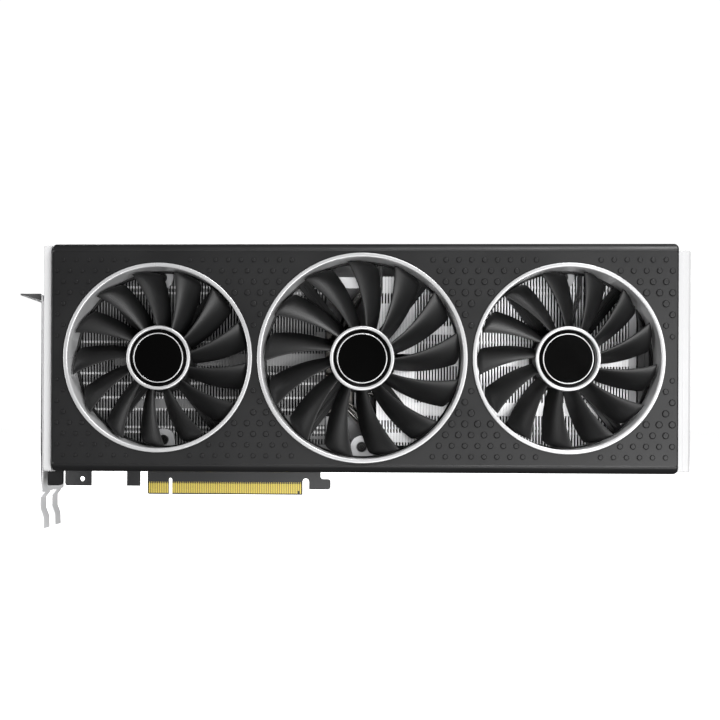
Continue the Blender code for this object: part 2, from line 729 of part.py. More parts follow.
def make_fin_bridge(stack):
    """The upper fold that reaches from the left stack's last fins over the pipe bends."""
    span = (LEFT_STACK_X[1] - FIN_PITCH / 2, RIGHT_STACK_X[0] - GAP)
    combine(stack, boxes("bridge", [(span, (FIN_FRONT, FIN_FRONT + SHEET), BRIDGE_Z)]), "UNION")
    dress(stack, "fin_aluminium")


def smooth_step(share):
    return share * share * (3 - 2 * share)


def make_heat_pipe(index):
    """A straight run on each side of the gap, joined by an S-bend."""
    low = BEND_START_X
    high = BEND_END_X[index]
    route = [(PIPE_START_X, 0.0)]
    for k in range(BEND_STEPS + 1):
        share = k / BEND_STEPS
        route.append((low + (high - low) * share, smooth_step(share)))
    route.append((PIPE_END_X[index], 1.0))
    near = PIPE_LEFT_Z[index]
    far = PIPE_RIGHT_Z[index]
    points = [(x, PIPE_Y, near + (far - near) * share) for x, share in route]
    tube("heat_pipe_" + str(index + 1), points, PIPE_RADIUS, 2, "nickel_pipe")


def tube(name, points, radius, resolution, material):
    curve = bpy.data.curves.new(name, "CURVE")
    curve.dimensions = "3D"
    curve.bevel_depth = radius
    curve.bevel_resolution = resolution
    curve.use_fill_caps = True
    line = curve.splines.new("POLY")
    line.points.add(len(points) - 1)
    for knot, point in zip(line.points, points):
        knot.co = (*point, 1.0)
    made = bpy.data.objects.new(name, curve)
    bpy.context.collection.objects.link(made)
    curve.materials.append(finish(material))


def make_cold_plate():
    x = (CORE_X - COLD_PLATE_HALF[0], CORE_X + COLD_PLATE_HALF[0])
    z = (CORE_Z - COLD_PLATE_HALF[1], CORE_Z + COLD_PLATE_HALF[1])
    plate = boxes("cold_plate", [(x, COLD_PLATE_Y, z)], "copper")
    edge = plate.modifiers.new("edge", "BEVEL")
    edge.width = COLD_PLATE_CHAMFER
    edge.segments = 1


def tab_shape(x, z):
    """A round-ended tab folded over the fins from the nearer flange."""
    upper = z > FAN_Z
    root = CARRIER_Z[1] - FOLD_EMBED if upper else CARRIER_Z[0] + FOLD_EMBED
    outline = [(x + TAB_RADIUS, root), (x - TAB_RADIUS, root)]
    outline += arc((x, z), TAB_RADIUS, 180, 360 if upper else 0, 8)
    return extruded("tab", [outline], "Y", TAB_FRONT, TAB_BACK)


def make_carrier():
    """The sheet frame behind the fins, with flanges and four folded tabs."""
    bottom = (CARRIER_Z[0], CARRIER_Z[0] + SHEET)
    top = (CARRIER_Z[1] - SHEET, CARRIER_Z[1])
    carrier = boxes("cooler_carrier", [(CARRIER_X, CARRIER_Y, CARRIER_Z)])
    reach = (TAB_FRONT, CARRIER_Y[1] - FOLD_EMBED)
    inset = (CARRIER_X[0] + FOLD_EMBED / 2, CARRIER_X[1] - FOLD_EMBED / 2)
    combine(carrier, boxes("flange", [(inset, reach, bottom)]), "UNION")
    combine(carrier, boxes("flange", [(inset, reach, top)]), "UNION")
    for x, z in TABS:
        combine(carrier, tab_shape(x, z), "UNION")
    for x, z in TABS:
        span = (TAB_FRONT - CUT, TAB_BACK + CUT)
        combine(carrier, disc("hole", (x, z), TAB_HOLE, span, 12), "DIFFERENCE")
    through = (CARRIER_Y[0] - CUT, CARRIER_Y[1] + CUT)
    core = spread(CORE_X, CARRIER_WINDOW, CORE_Z, CARRIER_WINDOW, *through)
    power_x = (POWER_X[0] - POWER_ROOM, POWER_X[1] + POWER_WIDTH + POWER_ROOM)
    above = CARRIER_Z[1] + CUT
    sockets = (power_x, (POWER_Y[0] - 0.6 * POWER_ROOM, through[1]), (POWER_Z[0] - POWER_ROOM, above))
    cuts = [core, sockets]
    for index in range(len(FAN_NAMES)):
        run = fan_centre(index)[0] + LEAD_OFFSET
        notch_x = (run - LEAD_NOTCH / 2, run + LEAD_NOTCH / 2)
        cuts.append((notch_x, (TAB_FRONT - CUT, TAB_FRONT + 0.9 * LEAD_NOTCH), (CARRIER_Z[1] - CUT, above)))
    combine(carrier, boxes("windows", cuts), "DIFFERENCE")
    dress(carrier, "grey_sheet")


# Circuit board.


def board_outline():
    """The board's edge, anticlockwise from the lower left tab."""
    short_end = -LONG_TONGUE_HALF - KEY_WIDTH
    key_middle = -LONG_TONGUE_HALF - KEY_WIDTH / 2
    slot_middle = LONG_TONGUE_HALF + HOOK_SLOT_RADIUS
    corner = BOARD_CORNER
    points = arc((BOARD_X[0] + corner, TAB_FOOT + corner), corner, 180, 270, 3)
    points += [(END_TAB_X, TAB_FOOT), (END_TAB_X, BOARD_BOTTOM), (MIDDLE_TAB_X[0], BOARD_BOTTOM)]
    points += [(MIDDLE_TAB_X[0], TAB_FOOT), (MIDDLE_TAB_X[1], TAB_FOOT)]
    points += [(MIDDLE_TAB_X[1], BOARD_BOTTOM), (short_end - SHORT_TONGUE, BOARD_BOTTOM)]
    points += [(short_end - SHORT_TONGUE, TONGUE_CHAMFER)]
    points += [(short_end - SHORT_TONGUE + TONGUE_CHAMFER, 0.0), (short_end, 0.0)]
    points += arc((key_middle, TONGUE_HEIGHT), KEY_WIDTH / 2, 180, 0, 6)
    points += [(-LONG_TONGUE_HALF, 0.0), (LONG_TONGUE_HALF, 0.0)]
    points += arc((slot_middle, HOOK_TOP), HOOK_SLOT_RADIUS, 180, 0, 6)
    points += [(slot_middle + HOOK_SLOT_RADIUS, HOOK_BOTTOM)]
    points += arc((HOOK_X[1] - corner, HOOK_BOTTOM + corner), corner, -90, 0, 3)
    points += [(HOOK_X[1], HOOK_TOP)]
    points += arc((HOOK_X[0] + corner, HOOK_TOP + corner), corner, 270, 180, 3)
    points += [(HOOK_X[0], BOARD_BOTTOM), (BOARD_X[1], BOARD_BOTTOM), (BOARD_X[1], BOARD_TOP)]
    points += [(BOARD_X[0], BOARD_TOP)]
    return points


def contact_outline(grow):
    """The gold area: both contact rows, joined by the strip above the key."""
    left = -LONG_TONGUE_HALF - KEY_WIDTH - SHORT_TONGUE + CONTACT_MARGIN - grow
    right = LONG_TONGUE_HALF - CONTACT_MARGIN + grow
    key_left = -LONG_TONGUE_HALF - KEY_WIDTH - KEY_MARGIN + grow
    key_right = -LONG_TONGUE_HALF + KEY_MARGIN - grow
    low = CONTACT_MARGIN - grow
    high = CONTACT_HEIGHT + grow
    return left, key_left, key_right, right, low, high


def make_board():
    board = extruded("circuit_board", [board_outline()], "Y", -BOARD_HALF, BOARD_HALF)
    left, key_left, key_right, right, low, high = contact_outline(GAP)
    depth = GAP + CONTACT_THICK
    pockets = []
    for side in (-1, 1):
        face = side * BOARD_HALF
        span = sorted((face + side * CUT, face - side * depth))
        pockets.append(((left, key_left), span, (low, high)))
        pockets.append(((key_right, right), span, (low, high)))
    combine(board, boxes("pockets", pockets), "DIFFERENCE")
    holes = [END_HOLE]
    for dx in (-COOLER_HOLE_OFFSET, COOLER_HOLE_OFFSET):
        for dz in (-COOLER_HOLE_OFFSET, COOLER_HOLE_OFFSET):
            holes.append((CORE_X + dx, CORE_Z + dz, COOLER_HOLE_RADIUS))
    for x, z, radius in holes:
        combine(board, disc("hole", (x, z), radius, (-CUT, CUT), 12), "DIFFERENCE")
    dress(board, "board")


def make_contacts():
    """Thin gold pads in the tongue's pockets, one node for each side and tongue."""
    left, key_left, key_right, right, low, high = contact_outline(0.0)
    for side, name in ((-1, "front"), (1, "back")):
        span = sorted((side * BOARD_HALF, side * (BOARD_HALF - CONTACT_THICK)))
        boxes("short_contacts_" + name, [((left, key_left), span, (low, high))], "gold")
        boxes("long_contacts_" + name, [((key_right, right), span, (low, high))], "gold")


def make_chips():
    front = -BOARD_HALF - GAP
    package = spread(CORE_X, PACKAGE_HALF, CORE_Z, PACKAGE_HALF, front - PACKAGE_THICK, front)
    core = boxes("graphics_chip", [package])
    die_y = (front - DIE_THICK, front - PACKAGE_THICK / 2)
    die = spread(CORE_X, DIE_HALF[0], CORE_Z, DIE_HALF[1], *die_y)
    combine(core, boxes("die", [die]), "UNION")
    dress(core, "chip")
    memory_rows = (CORE_Z - MEMORY_PITCH, CORE_Z, CORE_Z + MEMORY_PITCH)
    make_bank("memory_left", CORE_X - MEMORY_OFFSET, memory_rows, MEMORY_HALF, MEMORY_THICK, "chip")
    make_bank("memory_right", CORE_X + MEMORY_OFFSET, memory_rows, MEMORY_HALF, MEMORY_THICK, "chip")
    choke_rows = [CHOKE_FIRST_Z + CHOKE_PITCH * k for k in range(CHOKE_COUNT)]
    make_bank("choke_row", CHOKE_X, choke_rows, CHOKE_HALF, CHOKE_THICK, "laminations")


def spread(x, half_x, z, half_z, low_y, high_y):
    return (x - half_x, x + half_x), (low_y, high_y), (z - half_z, z + half_z)


def make_bank(name, x, rows, half, height, material):
    """A row of parts under one thermal pad that joins them to the carrier."""
    front = -BOARD_HALF - GAP
    pad_front = CARRIER_Y[1] + GAP
    pad_half = (rows[-1] - rows[0]) / 2 + half[1] - PAD_INSET
    middle = (rows[0] + rows[-1]) / 2
    pad_back = front - height + PAD_EMBED
    bank = boxes(name, [spread(x, half[0] - PAD_INSET, middle, pad_half, pad_front, pad_back)])
    parts = [spread(x, half[0], z, half[1], front - height, front) for z in rows]
    combine(bank, boxes("parts", parts), "UNION")
    dress(bank, material)


def make_sockets():
    """Display sockets: closed shells that open through the bracket."""
    back = -BOARD_HALF - GAP
    for name, z, half, front in zip(SOCKET_NAMES, SOCKET_Z, SOCKET_HALF, SOCKET_FRONT):
        socket = boxes(name, [(SOCKET_X, (front, back), (z - half, z + half))])
        inner = half - SOCKET_WALL
        span_y = (front + SOCKET_WALL, back - SOCKET_WALL)
        cavity = ((SOCKET_X[0] - CUT, SOCKET_X[0] + SOCKET_DEPTH), span_y, (z - inner, z + inner))
        combine(socket, boxes("cavity", [cavity]), "DIFFERENCE")
        dress(socket, "steel")


def make_power_sockets():
    for number, x in enumerate(POWER_X, 1):
        span_x = (x, x + POWER_WIDTH)
        socket = boxes("power_socket_" + str(number), [(span_x, POWER_Y, POWER_Z)])
        inner_x = (x + POWER_WALL, x + POWER_WIDTH - POWER_WALL)
        inner_y = (POWER_Y[0] + POWER_WALL, POWER_Y[1] - POWER_WALL)
        cavity = (inner_x, inner_y, (POWER_Z[1] - POWER_DEPTH, POWER_Z[1] + CUT))
        combine(socket, boxes("cavity", [cavity]), "DIFFERENCE")
        middle = x + POWER_WIDTH / 2
        latch_y = (POWER_Y[0] - LATCH_REACH, POWER_Y[0] + LATCH_EMBED)
        latch = ((middle - LATCH_WIDTH / 2, middle + LATCH_WIDTH / 2), latch_y, LATCH_Z)
        combine(socket, boxes("latch", [latch]), "UNION")
        dress(socket, "black_plastic")


def make_fan_header():
    """The board socket where the three fan leads end."""
    boxes("fan_header", [(HEADER_X, HEADER_Y, HEADER_Z)], "pale_plastic")


def make_fan_lead(index):
    """From the motor seat up beside a strut, over the carrier and down to the header."""
    x, z = fan_centre(index)
    run = x + LEAD_OFFSET
    lane = LEAD_LANES[index]
    end = LEAD_ENDS[index]
    over = LEAD_TOP
    turn = math.copysign(LEAD_TURN, end - run)
    corners = [(x + dx, LEAD_LAYER, z + dz) for dx, dz in LEAD_RISE]
    corners += [
        (run, LEAD_LAYER, over - 1.5 * LEAD_TURN),
        (run, LEAD_LAYER + 0.3 * LEAD_TURN, over - 0.3 * LEAD_TURN),
        (run, lane - 0.75 * LEAD_TURN, over),
        (run + turn, lane, over),
        (end - turn, lane, over),
        (end, lane + LEAD_TURN, over),
        (end, LEAD_PLUG_Y - 0.7 * LEAD_TURN, over),
        (end, LEAD_PLUG_Y - 0.2 * LEAD_TURN, over - 0.35 * LEAD_TURN),
        (end, LEAD_PLUG_Y, over - LEAD_TURN),
        (end, LEAD_PLUG_Y, HEADER_Z[1] + GAP),
    ]
    tube("fan_lead_" + FAN_NAMES[index], corners, LEAD_RADIUS, 1, "lead_black")


# Backplate, end frames and bracket.


def make_backplate():
    plate = extruded("backplate", [rounded_rectangle(PLATE_X, PLATE_Z, PLATE_CORNER)], "Y", *PLATE_Y)
    cut = spread(CORE_X, PLATE_WINDOW, CORE_Z, PLATE_WINDOW, PLATE_Y[0] - CUT, PLATE_Y[1] + CUT)
    combine(plate, boxes("window", [cut]), "DIFFERENCE")
    dress(plate, "backplate_black")


def make_retention():
    """The cross-shaped spring plate that pulls the cold plate on to the chip."""
    y = (BOARD_HALF + GAP, BOARD_HALF + GAP + SPRING_THICK)
    plate = boxes("retention_plate", [spread(CORE_X, SPRING_HALF, CORE_Z, SPRING_HALF, *y)])
    length, width = SPRING_ARM_HALF
    for turn in SPRING_ARM_ANGLES:
        bm = bmesh.new()
        tilt = Matrix.Translation((CORE_X, 0, CORE_Z)) @ Matrix.Rotation(math.radians(turn), 4, "Y")
        layer = (y[0] + SPRING_ARM_INSET, y[1] - SPRING_ARM_INSET)
        add_box(bm, (-length, length), layer, (-width, width), tilt)
        combine(plate, place("arm", bm), "UNION")
    hole = spread(CORE_X, SPRING_HOLE_HALF, CORE_Z, SPRING_HOLE_HALF, y[0] - CUT, y[1] + CUT)
    combine(plate, boxes("hole", [hole]), "DIFFERENCE")
    dress(plate, "grey_sheet")


def make_left_strip():
    """The pale frame between the shroud and the bracket, open for the exhaust air."""
    strip = boxes("left_end_frame", [(STRIP_X, STRIP_Y, STRIP_Z)])
    across = (STRIP_X[0] - CUT, STRIP_X[1] + CUT)
    window = (across, (EXHAUST_Y[0], STRIP_WINDOW_BACK), EXHAUST_Z)
    combine(strip, boxes("window", [window]), "DIFFERENCE")
    dress(strip, "pale_plastic")


def make_right_frame():
    """The pale end cap: a shell that opens towards the shroud and the backplate, ribbed in front."""
    x0, x1 = END_X
    y0 = END_Y[0]
    wall = END_WALL
    first, second = END_STEPS
    drop = END_STEP_DEPTH
    outline = [(x0, END_Y[1]), (x0, y0), (x1 - first, y0), (x1 - first, y0 + drop)]
    outline += [(x1 - second, y0 + drop), (x1 - second, y0 + 2 * drop)]
    outline += [(x1 - END_CHAMFER, y0 + 2 * drop), (x1, y0 + 4 * drop), (x1, END_Y[1])]
    cap = extruded("right_end_frame", [outline], "Z", *END_Z)
    inner_y = (y0 + END_FRONT_WALL, END_Y[1] + CUT)
    inner = ((x0 - CUT, x1 - wall), inner_y, (END_Z[0] + wall, END_Z[1] - wall))
    combine(cap, boxes("inner", [inner]), "DIFFERENCE")
    vents = []
    for k in range(END_VENT_COUNT):
        z = END_VENT_LOW + END_VENT_PITCH * k
        vents.append(((x1 - 2 * CUT, x1 + CUT), END_VENT_Y, (z, z + END_VENT_HEIGHT)))
    combine(cap, boxes("vents", vents), "DIFFERENCE")
    dress(cap, "pale_plastic")


def tongue_outline():
    """Side view of a bracket tongue: out past the plate, then back in towards the tip."""
    thick = BRACKET_THICK
    bend = TONGUE_BEND_Z
    outer = [(BRACKET_OUT - out, z) for out, z in zip(TONGUE_REACH, bend)]
    inner = [(x + thick, z - thick * slope) for (x, z), slope in zip(outer, TONGUE_SLOPES)]
    root = BRACKET_FOOT + TONGUE_ROOT
    return outer + inner[::-1] + [(BRACKET_OUT + thick, root), (BRACKET_OUT, root)]


def bracket_profile():
    """Side view of the plate and its top flange, as one folded sheet."""
    out = BRACKET_OUT
    inner = out + BRACKET_THICK
    low = BRACKET_TOP - BRACKET_THICK
    return [
        (out, BRACKET_FOOT + PLATE_FOOT),
        (inner, BRACKET_FOOT + PLATE_FOOT),
        (inner, BRACKET_TOP),
        (FLANGE_END, BRACKET_TOP),
        (FLANGE_END, low),
        (out, low),
    ]


def make_bracket():
    bracket = extruded("bracket", [bracket_profile()], "Y", *BRACKET_Y)
    out = BRACKET_OUT + BRACKET_EMBED
    edge = (out, BRACKET_OUT + FOLD_DEPTH)
    fold = (edge, (BRACKET_Y[0], BRACKET_Y[0] + BRACKET_THICK), FOLD_Z)
    combine(bracket, boxes("fold", [fold]), "UNION")
    low = BRACKET_TOP - BRACKET_THICK + BRACKET_EMBED
    gusset = [(out, low), (out, low - GUSSET[1]), (out - GUSSET[0], low)]
    front = BRACKET_Y[0] + BRACKET_EMBED
    rib = extruded("rib", [gusset], "Y", front, front + BRACKET_THICK)
    combine(bracket, rib, "UNION")
    for middle in TONGUE_Y:
        foot = extruded("foot", [tongue_outline()], "Y", middle - TONGUE_HALF, middle + TONGUE_HALF)
        combine(bracket, foot, "UNION")
    combine(bracket, boxes("cuts", bracket_cuts()), "DIFFERENCE")
    dress(bracket, "bracket_steel")


def bracket_cuts():
    across = (BRACKET_OUT - CUT, BRACKET_OUT + CUT)
    back = -BOARD_HALF - GAP
    cuts = []
    for z, half, front in zip(SOCKET_Z, SOCKET_HALF, SOCKET_FRONT):
        cuts.append((across, (front - GAP, back + GAP), (z - half - GAP, z + half + GAP)))
    for k in range(BRACKET_SLOT_COUNT):
        z = BRACKET_SLOT_LOW + BRACKET_SLOT_PITCH * k
        cuts.append((across, BRACKET_SLOT_Y, (z, z + BRACKET_SLOT_HEIGHT)))
    flange = (BRACKET_TOP - CUT, BRACKET_TOP + CUT)
    cuts.append((NOTCH_X, (NOTCH_BACK_Y, BRACKET_Y[1] + CUT), flange))
    cuts.append((NOTCH_X, NOTCH_MIDDLE_Y, flange))
    return cuts


def main():
    clear_scene()
    make_shroud()
    for index in range(len(FAN_NAMES)):
        make_trim_ring(index)
        make_fan_frame(index)
        make_motor(index)
        make_rotor(index)
        make_hub_trim(index)
        make_fan_lead(index)
    make_fin_bridge(make_fin_stack("fin_stack_left", LEFT_STACK_X))
    make_fin_stack("fin_stack_right", RIGHT_STACK_X)
    for index in range(len(PIPE_LEFT_Z)):
        make_heat_pipe(index)
    make_cold_plate()
    make_carrier()
    make_board()
    make_contacts()
    make_chips()
    make_sockets()
    make_power_sockets()
    make_fan_header()
    make_backplate()
    make_retention()
    make_left_strip()
    make_right_frame()
    make_bracket()


main()
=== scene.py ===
"""Looks of a triple-fan graphics card: fine meshes, procedural finishes, soft studio light and a camera.

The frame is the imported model's: metres, +X from the bracket to the free end, fans facing -Y, +Z up.
CORNERS are the angles of a square's corners; PAST is how far a cutting tool runs past what it cuts.
"""

import json
import math

import bmesh
import bpy
from mathutils import Matrix, Vector

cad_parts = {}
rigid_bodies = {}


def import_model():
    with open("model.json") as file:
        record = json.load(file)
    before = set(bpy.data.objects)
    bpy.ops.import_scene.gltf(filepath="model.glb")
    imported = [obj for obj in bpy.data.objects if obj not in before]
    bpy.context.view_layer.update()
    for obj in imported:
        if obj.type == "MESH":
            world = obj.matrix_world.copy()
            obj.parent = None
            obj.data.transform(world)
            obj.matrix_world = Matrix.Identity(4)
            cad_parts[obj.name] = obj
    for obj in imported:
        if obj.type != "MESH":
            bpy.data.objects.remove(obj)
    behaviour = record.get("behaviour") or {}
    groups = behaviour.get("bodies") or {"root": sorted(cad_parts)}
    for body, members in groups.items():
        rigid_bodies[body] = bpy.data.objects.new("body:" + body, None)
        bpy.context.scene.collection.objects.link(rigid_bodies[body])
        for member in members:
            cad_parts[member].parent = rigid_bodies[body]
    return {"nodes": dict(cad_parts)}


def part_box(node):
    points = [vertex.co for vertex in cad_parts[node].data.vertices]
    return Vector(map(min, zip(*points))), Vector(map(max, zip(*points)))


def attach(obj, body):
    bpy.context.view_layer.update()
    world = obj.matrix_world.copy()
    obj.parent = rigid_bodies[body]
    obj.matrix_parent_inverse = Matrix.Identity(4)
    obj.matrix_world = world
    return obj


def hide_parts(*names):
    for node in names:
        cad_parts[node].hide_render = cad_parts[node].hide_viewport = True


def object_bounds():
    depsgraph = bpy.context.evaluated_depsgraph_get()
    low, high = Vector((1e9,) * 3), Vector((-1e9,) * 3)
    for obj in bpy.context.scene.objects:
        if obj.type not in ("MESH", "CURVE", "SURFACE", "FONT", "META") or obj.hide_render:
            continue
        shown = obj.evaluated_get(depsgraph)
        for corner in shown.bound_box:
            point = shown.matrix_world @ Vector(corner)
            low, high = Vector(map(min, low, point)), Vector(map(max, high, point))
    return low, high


MM = 0.001
FANS = ("left", "centre", "right")
CORNERS = (45, 135, 225, 315)
PAST = 5 * MM


def mm(first, second):
    """Two values given in millimetres, in metres."""
    return first * MM, second * MM


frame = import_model()
CAD_LOW, CAD_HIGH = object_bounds()


def span_of(node, axis):
    """Lowest and highest value of a CAD node along one axis."""
    low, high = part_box(node)
    return low[axis], high[axis]


X, Y, Z = 0, 1, 2
SHROUD_X = span_of("left_end_frame", X)[1] + 0.3 * MM, span_of("right_end_frame", X)[0] - 0.3 * MM
SHROUD_Z = mm(14.4, 130.4)
FACE_Y = -45.5 * MM
SHROUD_BACK = span_of("shroud", Y)[1]
FIN_Y = span_of("fin_stack_right", Y)
FIN_Z = span_of("fin_stack_right", Z)


# Camera, light and floor.

CAMERA_PLACE = Vector((0.0745, -0.58269, 0.0410))
CAMERA_YAW = 0.0286
CAMERA_ROLL = 0.0041
CAMERA_SHIFT = (0.0236, 0.0835)
LENS = 53.3
SENSOR_WIDTH = 36.0

WHITE = (1, 1, 1, 1)
WHITE_SEEN = 1.05
WHITE_CAST = 0.05
CARD_MIDDLE = (0.07, -0.03, 0.07)

# Name, place, size and power of each light.
LIGHTS = (
    ("key_light", (0.69, -0.84, 0.0), (0.5, 0.5), 8.4),
    ("left_fill", (-0.85, -0.45, 0.15), (0.4, 0.5), 5.5),
    ("top_light", (0.42, -0.38, 0.80), (0.8, 0.3), 13.0),
    ("low_light", (0.30, -0.80, -0.32), (0.8, 0.3), 8.5),
    ("back_fill", (-0.5, 0.95, 0.45), (0.8, 0.8), 14.0),
)
FIN_LIGHT = ("fin_light", (0.12, -0.72, 0.12), (0.10, -0.03, 0.07), (0.3, 0.3), 1.0)
FIN_LIT = ("fins_left", "fins_right", "fin_rows_left", "fin_rows_right", "fin_bridge")
INNER_LIT = ("carrier_walls", "shroud_inner_wall")

FLOOR_SIZE = 6.0
FLOOR_GREY = (0.9, 0.9, 0.9, 1)
FLOOR_GLOW = 0.95


def make_camera():
    """A level view from in front of the centre fan, turned slightly left, with a raised lens."""
    forward = Vector((-math.sin(CAMERA_YAW), math.cos(CAMERA_YAW), 0.0))
    level = Vector((math.cos(CAMERA_YAW), math.sin(CAMERA_YAW), 0.0))
    upright = level.cross(forward)
    right = math.cos(CAMERA_ROLL) * level + math.sin(CAMERA_ROLL) * upright
    up = math.cos(CAMERA_ROLL) * upright - math.sin(CAMERA_ROLL) * level
    data = bpy.data.cameras.new("camera")
    data.lens = LENS
    data.shift_x, data.shift_y = CAMERA_SHIFT
    data.sensor_width = SENSOR_WIDTH
    camera = bpy.data.objects.new("camera", data)
    matrix = Matrix((right, up, -forward)).transposed().to_4x4()
    matrix.translation = CAMERA_PLACE
    camera.matrix_world = matrix
    bpy.context.scene.collection.objects.link(camera)
    bpy.context.scene.camera = camera


def add_light(name, place, target, size, power):
    data = bpy.data.lights.new(name, "AREA")
    data.shape = "RECTANGLE"
    data.size, data.size_y = size
    data.energy = power
    light = bpy.data.objects.new(name, data)
    light.location = place
    light.rotation_euler = (Vector(target) - Vector(place)).to_track_quat("-Z", "Y").to_euler()
    bpy.context.scene.collection.objects.link(light)
    return light


def make_studio():
    """White surroundings that cast little light, and five large soft lights round the card."""
    scene = bpy.context.scene
    scene.view_settings.view_transform = "Standard"
    world = bpy.data.worlds.new("studio")
    scene.world = world
    world.use_nodes = True
    nodes = world.node_tree.nodes
    links = world.node_tree.links
    seen = nodes["Background"]
    set_inputs(seen, Color=WHITE, Strength=WHITE_SEEN)
    cast = nodes.new("ShaderNodeBackground")
    set_inputs(cast, Color=WHITE, Strength=WHITE_CAST)
    path = nodes.new("ShaderNodeLightPath")
    mix = nodes.new("ShaderNodeMixShader")
    links.new(path.outputs["Is Camera Ray"], mix.inputs["Fac"])
    links.new(cast.outputs[0], mix.inputs[1])
    links.new(seen.outputs[0], mix.inputs[2])
    links.new(mix.outputs[0], nodes["World Output"].inputs["Surface"])
    for name, place, size, power in LIGHTS:
        add_light(name, place, CARD_MIDDLE, size, power)


def light_the_fins():
    """A soft frontal light that only the fins, the sheet and the inner wall receive."""
    lit = bpy.data.collections.new("fins_and_sheet")
    for name in FIN_LIT + INNER_LIT:
        lit.objects.link(bpy.data.objects[name])
    light = add_light(*FIN_LIGHT)
    light.light_linking.receiver_collection = lit


def make_floor():
    """A pale floor just below the card that glows, and takes no part in the light on the card."""
    bm = bmesh.new()
    bmesh.ops.create_grid(bm, x_segments=2, y_segments=2, size=FLOOR_SIZE)
    mesh = bpy.data.meshes.new("floor")
    bm.to_mesh(mesh)
    bm.free()
    floor = bpy.data.objects.new("floor", mesh)
    floor.location = (0.0, 0.0, CAD_LOW.z - 1.0 * MM)
    bpy.context.scene.collection.objects.link(floor)
    pale = bpy.data.materials.new("floor_white")
    pale.use_nodes = True
    shader = pale.node_tree.nodes["Principled BSDF"]
    set_inputs(shader, Base_Color=FLOOR_GREY, Roughness=0.9)
    set_inputs(shader, Emission_Color=WHITE, Emission_Strength=FLOOR_GLOW)
    floor.data.materials.append(pale)
    floor.visible_diffuse = False
    floor.visible_glossy = False
    floor.visible_shadow = False


def set_inputs(node, **values):
    """Sets a node's own inputs by name; an underscore stands for a space."""
    for name, value in values.items():
        node.inputs[name.replace("_", " ")].default_value = value


# Finishes. Noise scales are per metre.

CLOUD_SCALE = 70.0
SMEAR_SCALE = 28.0
# How far and how strongly convex edges are lightened: a painted highlight.
HIGHLIGHT_LIFT = 0.6
SMEAR_RANGE = (0.3, 0.7)
LEAST_ROUGHNESS = 0.03
CONVEX_RANGE = (0.54, 0.66)
HIGHLIGHT_GAIN = 3.0


def finish(
    name,
    colour,
    roughness,
    metallic=0.0,
    spread=(0.1, 0.07),
    grain=(2200, 0.02),
    along=(1, 1, 1),
    edge_highlight=0.12,
    shine=0.5,
):
    """A procedural surface: mottled colour, uneven gloss, a painted highlight on convex edges and a fine
    bumped grain.

    spread is how far the colour and the roughness vary; grain is its scale per metre and its height
    in millimetres; along stretches the pattern; shine is the strength of the gloss and edge_highlight
    that of the painted highlight on convex edges.
    """
    mottle, uneven = spread
    made = bpy.data.materials.new(name)
    made.use_nodes = True
    nodes = made.node_tree.nodes
    links = made.node_tree.links
    shader = nodes["Principled BSDF"]
    set_inputs(shader, Metallic=metallic, Specular_IOR_Level=shine)
    place = nodes.new("ShaderNodeTexCoord")
    stretch = nodes.new("ShaderNodeMapping")
    set_inputs(stretch, Scale=along)
    links.new(place.outputs["Object"], stretch.inputs["Vector"])
    cloud = add_noise(made, stretch, CLOUD_SCALE, 5.0)
    smear = add_noise(made, stretch, SMEAR_SCALE, 3.0)
    fine = add_noise(made, stretch, grain[0], 2.0)

    body = nodes.new("ShaderNodeMix")
    body.data_type = "RGBA"
    dark = (*[c * (1 - mottle) for c in colour], 1)
    light = (*[min(1, c * (1 + mottle)) for c in colour], 1)
    set_inputs(body, A=dark, B=light)
    links.new(cloud.outputs["Fac"], body.inputs["Factor"])
    edge = nodes.new("ShaderNodeMix")
    edge.data_type = "RGBA"
    # The colour is lifted on convex edges: a painted highlight.
    set_inputs(edge, B=(*[min(1, c + HIGHLIGHT_LIFT * edge_highlight) for c in colour], 1))
    links.new(body.outputs["Result"], edge.inputs["A"])
    links.new(painted_edge_highlight(made, fine, edge_highlight), edge.inputs["Factor"])
    links.new(edge.outputs["Result"], shader.inputs["Base Color"])

    gloss = nodes.new("ShaderNodeMapRange")
    set_inputs(gloss, From_Min=SMEAR_RANGE[0], From_Max=SMEAR_RANGE[1])
    set_inputs(gloss, To_Min=max(LEAST_ROUGHNESS, roughness - uneven), To_Max=roughness + uneven)
    links.new(smear.outputs["Fac"], gloss.inputs["Value"])
    links.new(gloss.outputs["Result"], shader.inputs["Roughness"])

    bump = nodes.new("ShaderNodeBump")
    set_inputs(bump, Strength=1.0, Distance=grain[1] * MM)
    links.new(fine.outputs["Fac"], bump.inputs["Height"])
    links.new(bump.outputs["Normal"], shader.inputs["Normal"])
    return made


def add_noise(material, stretch, scale, detail):
    noise = material.node_tree.nodes.new("ShaderNodeTexNoise")
    set_inputs(noise, Scale=scale, Detail=detail)
    material.node_tree.links.new(stretch.outputs["Vector"], noise.inputs["Vector"])
    return noise


def painted_edge_highlight(material, fine, amount):
    """A mask that is brightest on convex edges and broken up by the grain; it paints a highlight there.
    """
    nodes = material.node_tree.nodes
    links = material.node_tree.links
    shape = nodes.new("ShaderNodeNewGeometry")
    convex = nodes.new("ShaderNodeMapRange")
    set_inputs(convex, From_Min=CONVEX_RANGE[0], From_Max=CONVEX_RANGE[1])
    set_inputs(convex, To_Max=min(1.0, HIGHLIGHT_GAIN * amount))
    links.new(shape.outputs["Pointiness"], convex.inputs["Value"])
    broken = nodes.new("ShaderNodeMath")
    broken.operation = "MULTIPLY"
    links.new(convex.outputs["Result"], broken.inputs[0])
    links.new(fine.outputs["Fac"], broken.inputs[1])
    return broken.outputs["Value"]


def grey(value, tint=1.0):
    return (value, value, value * tint)


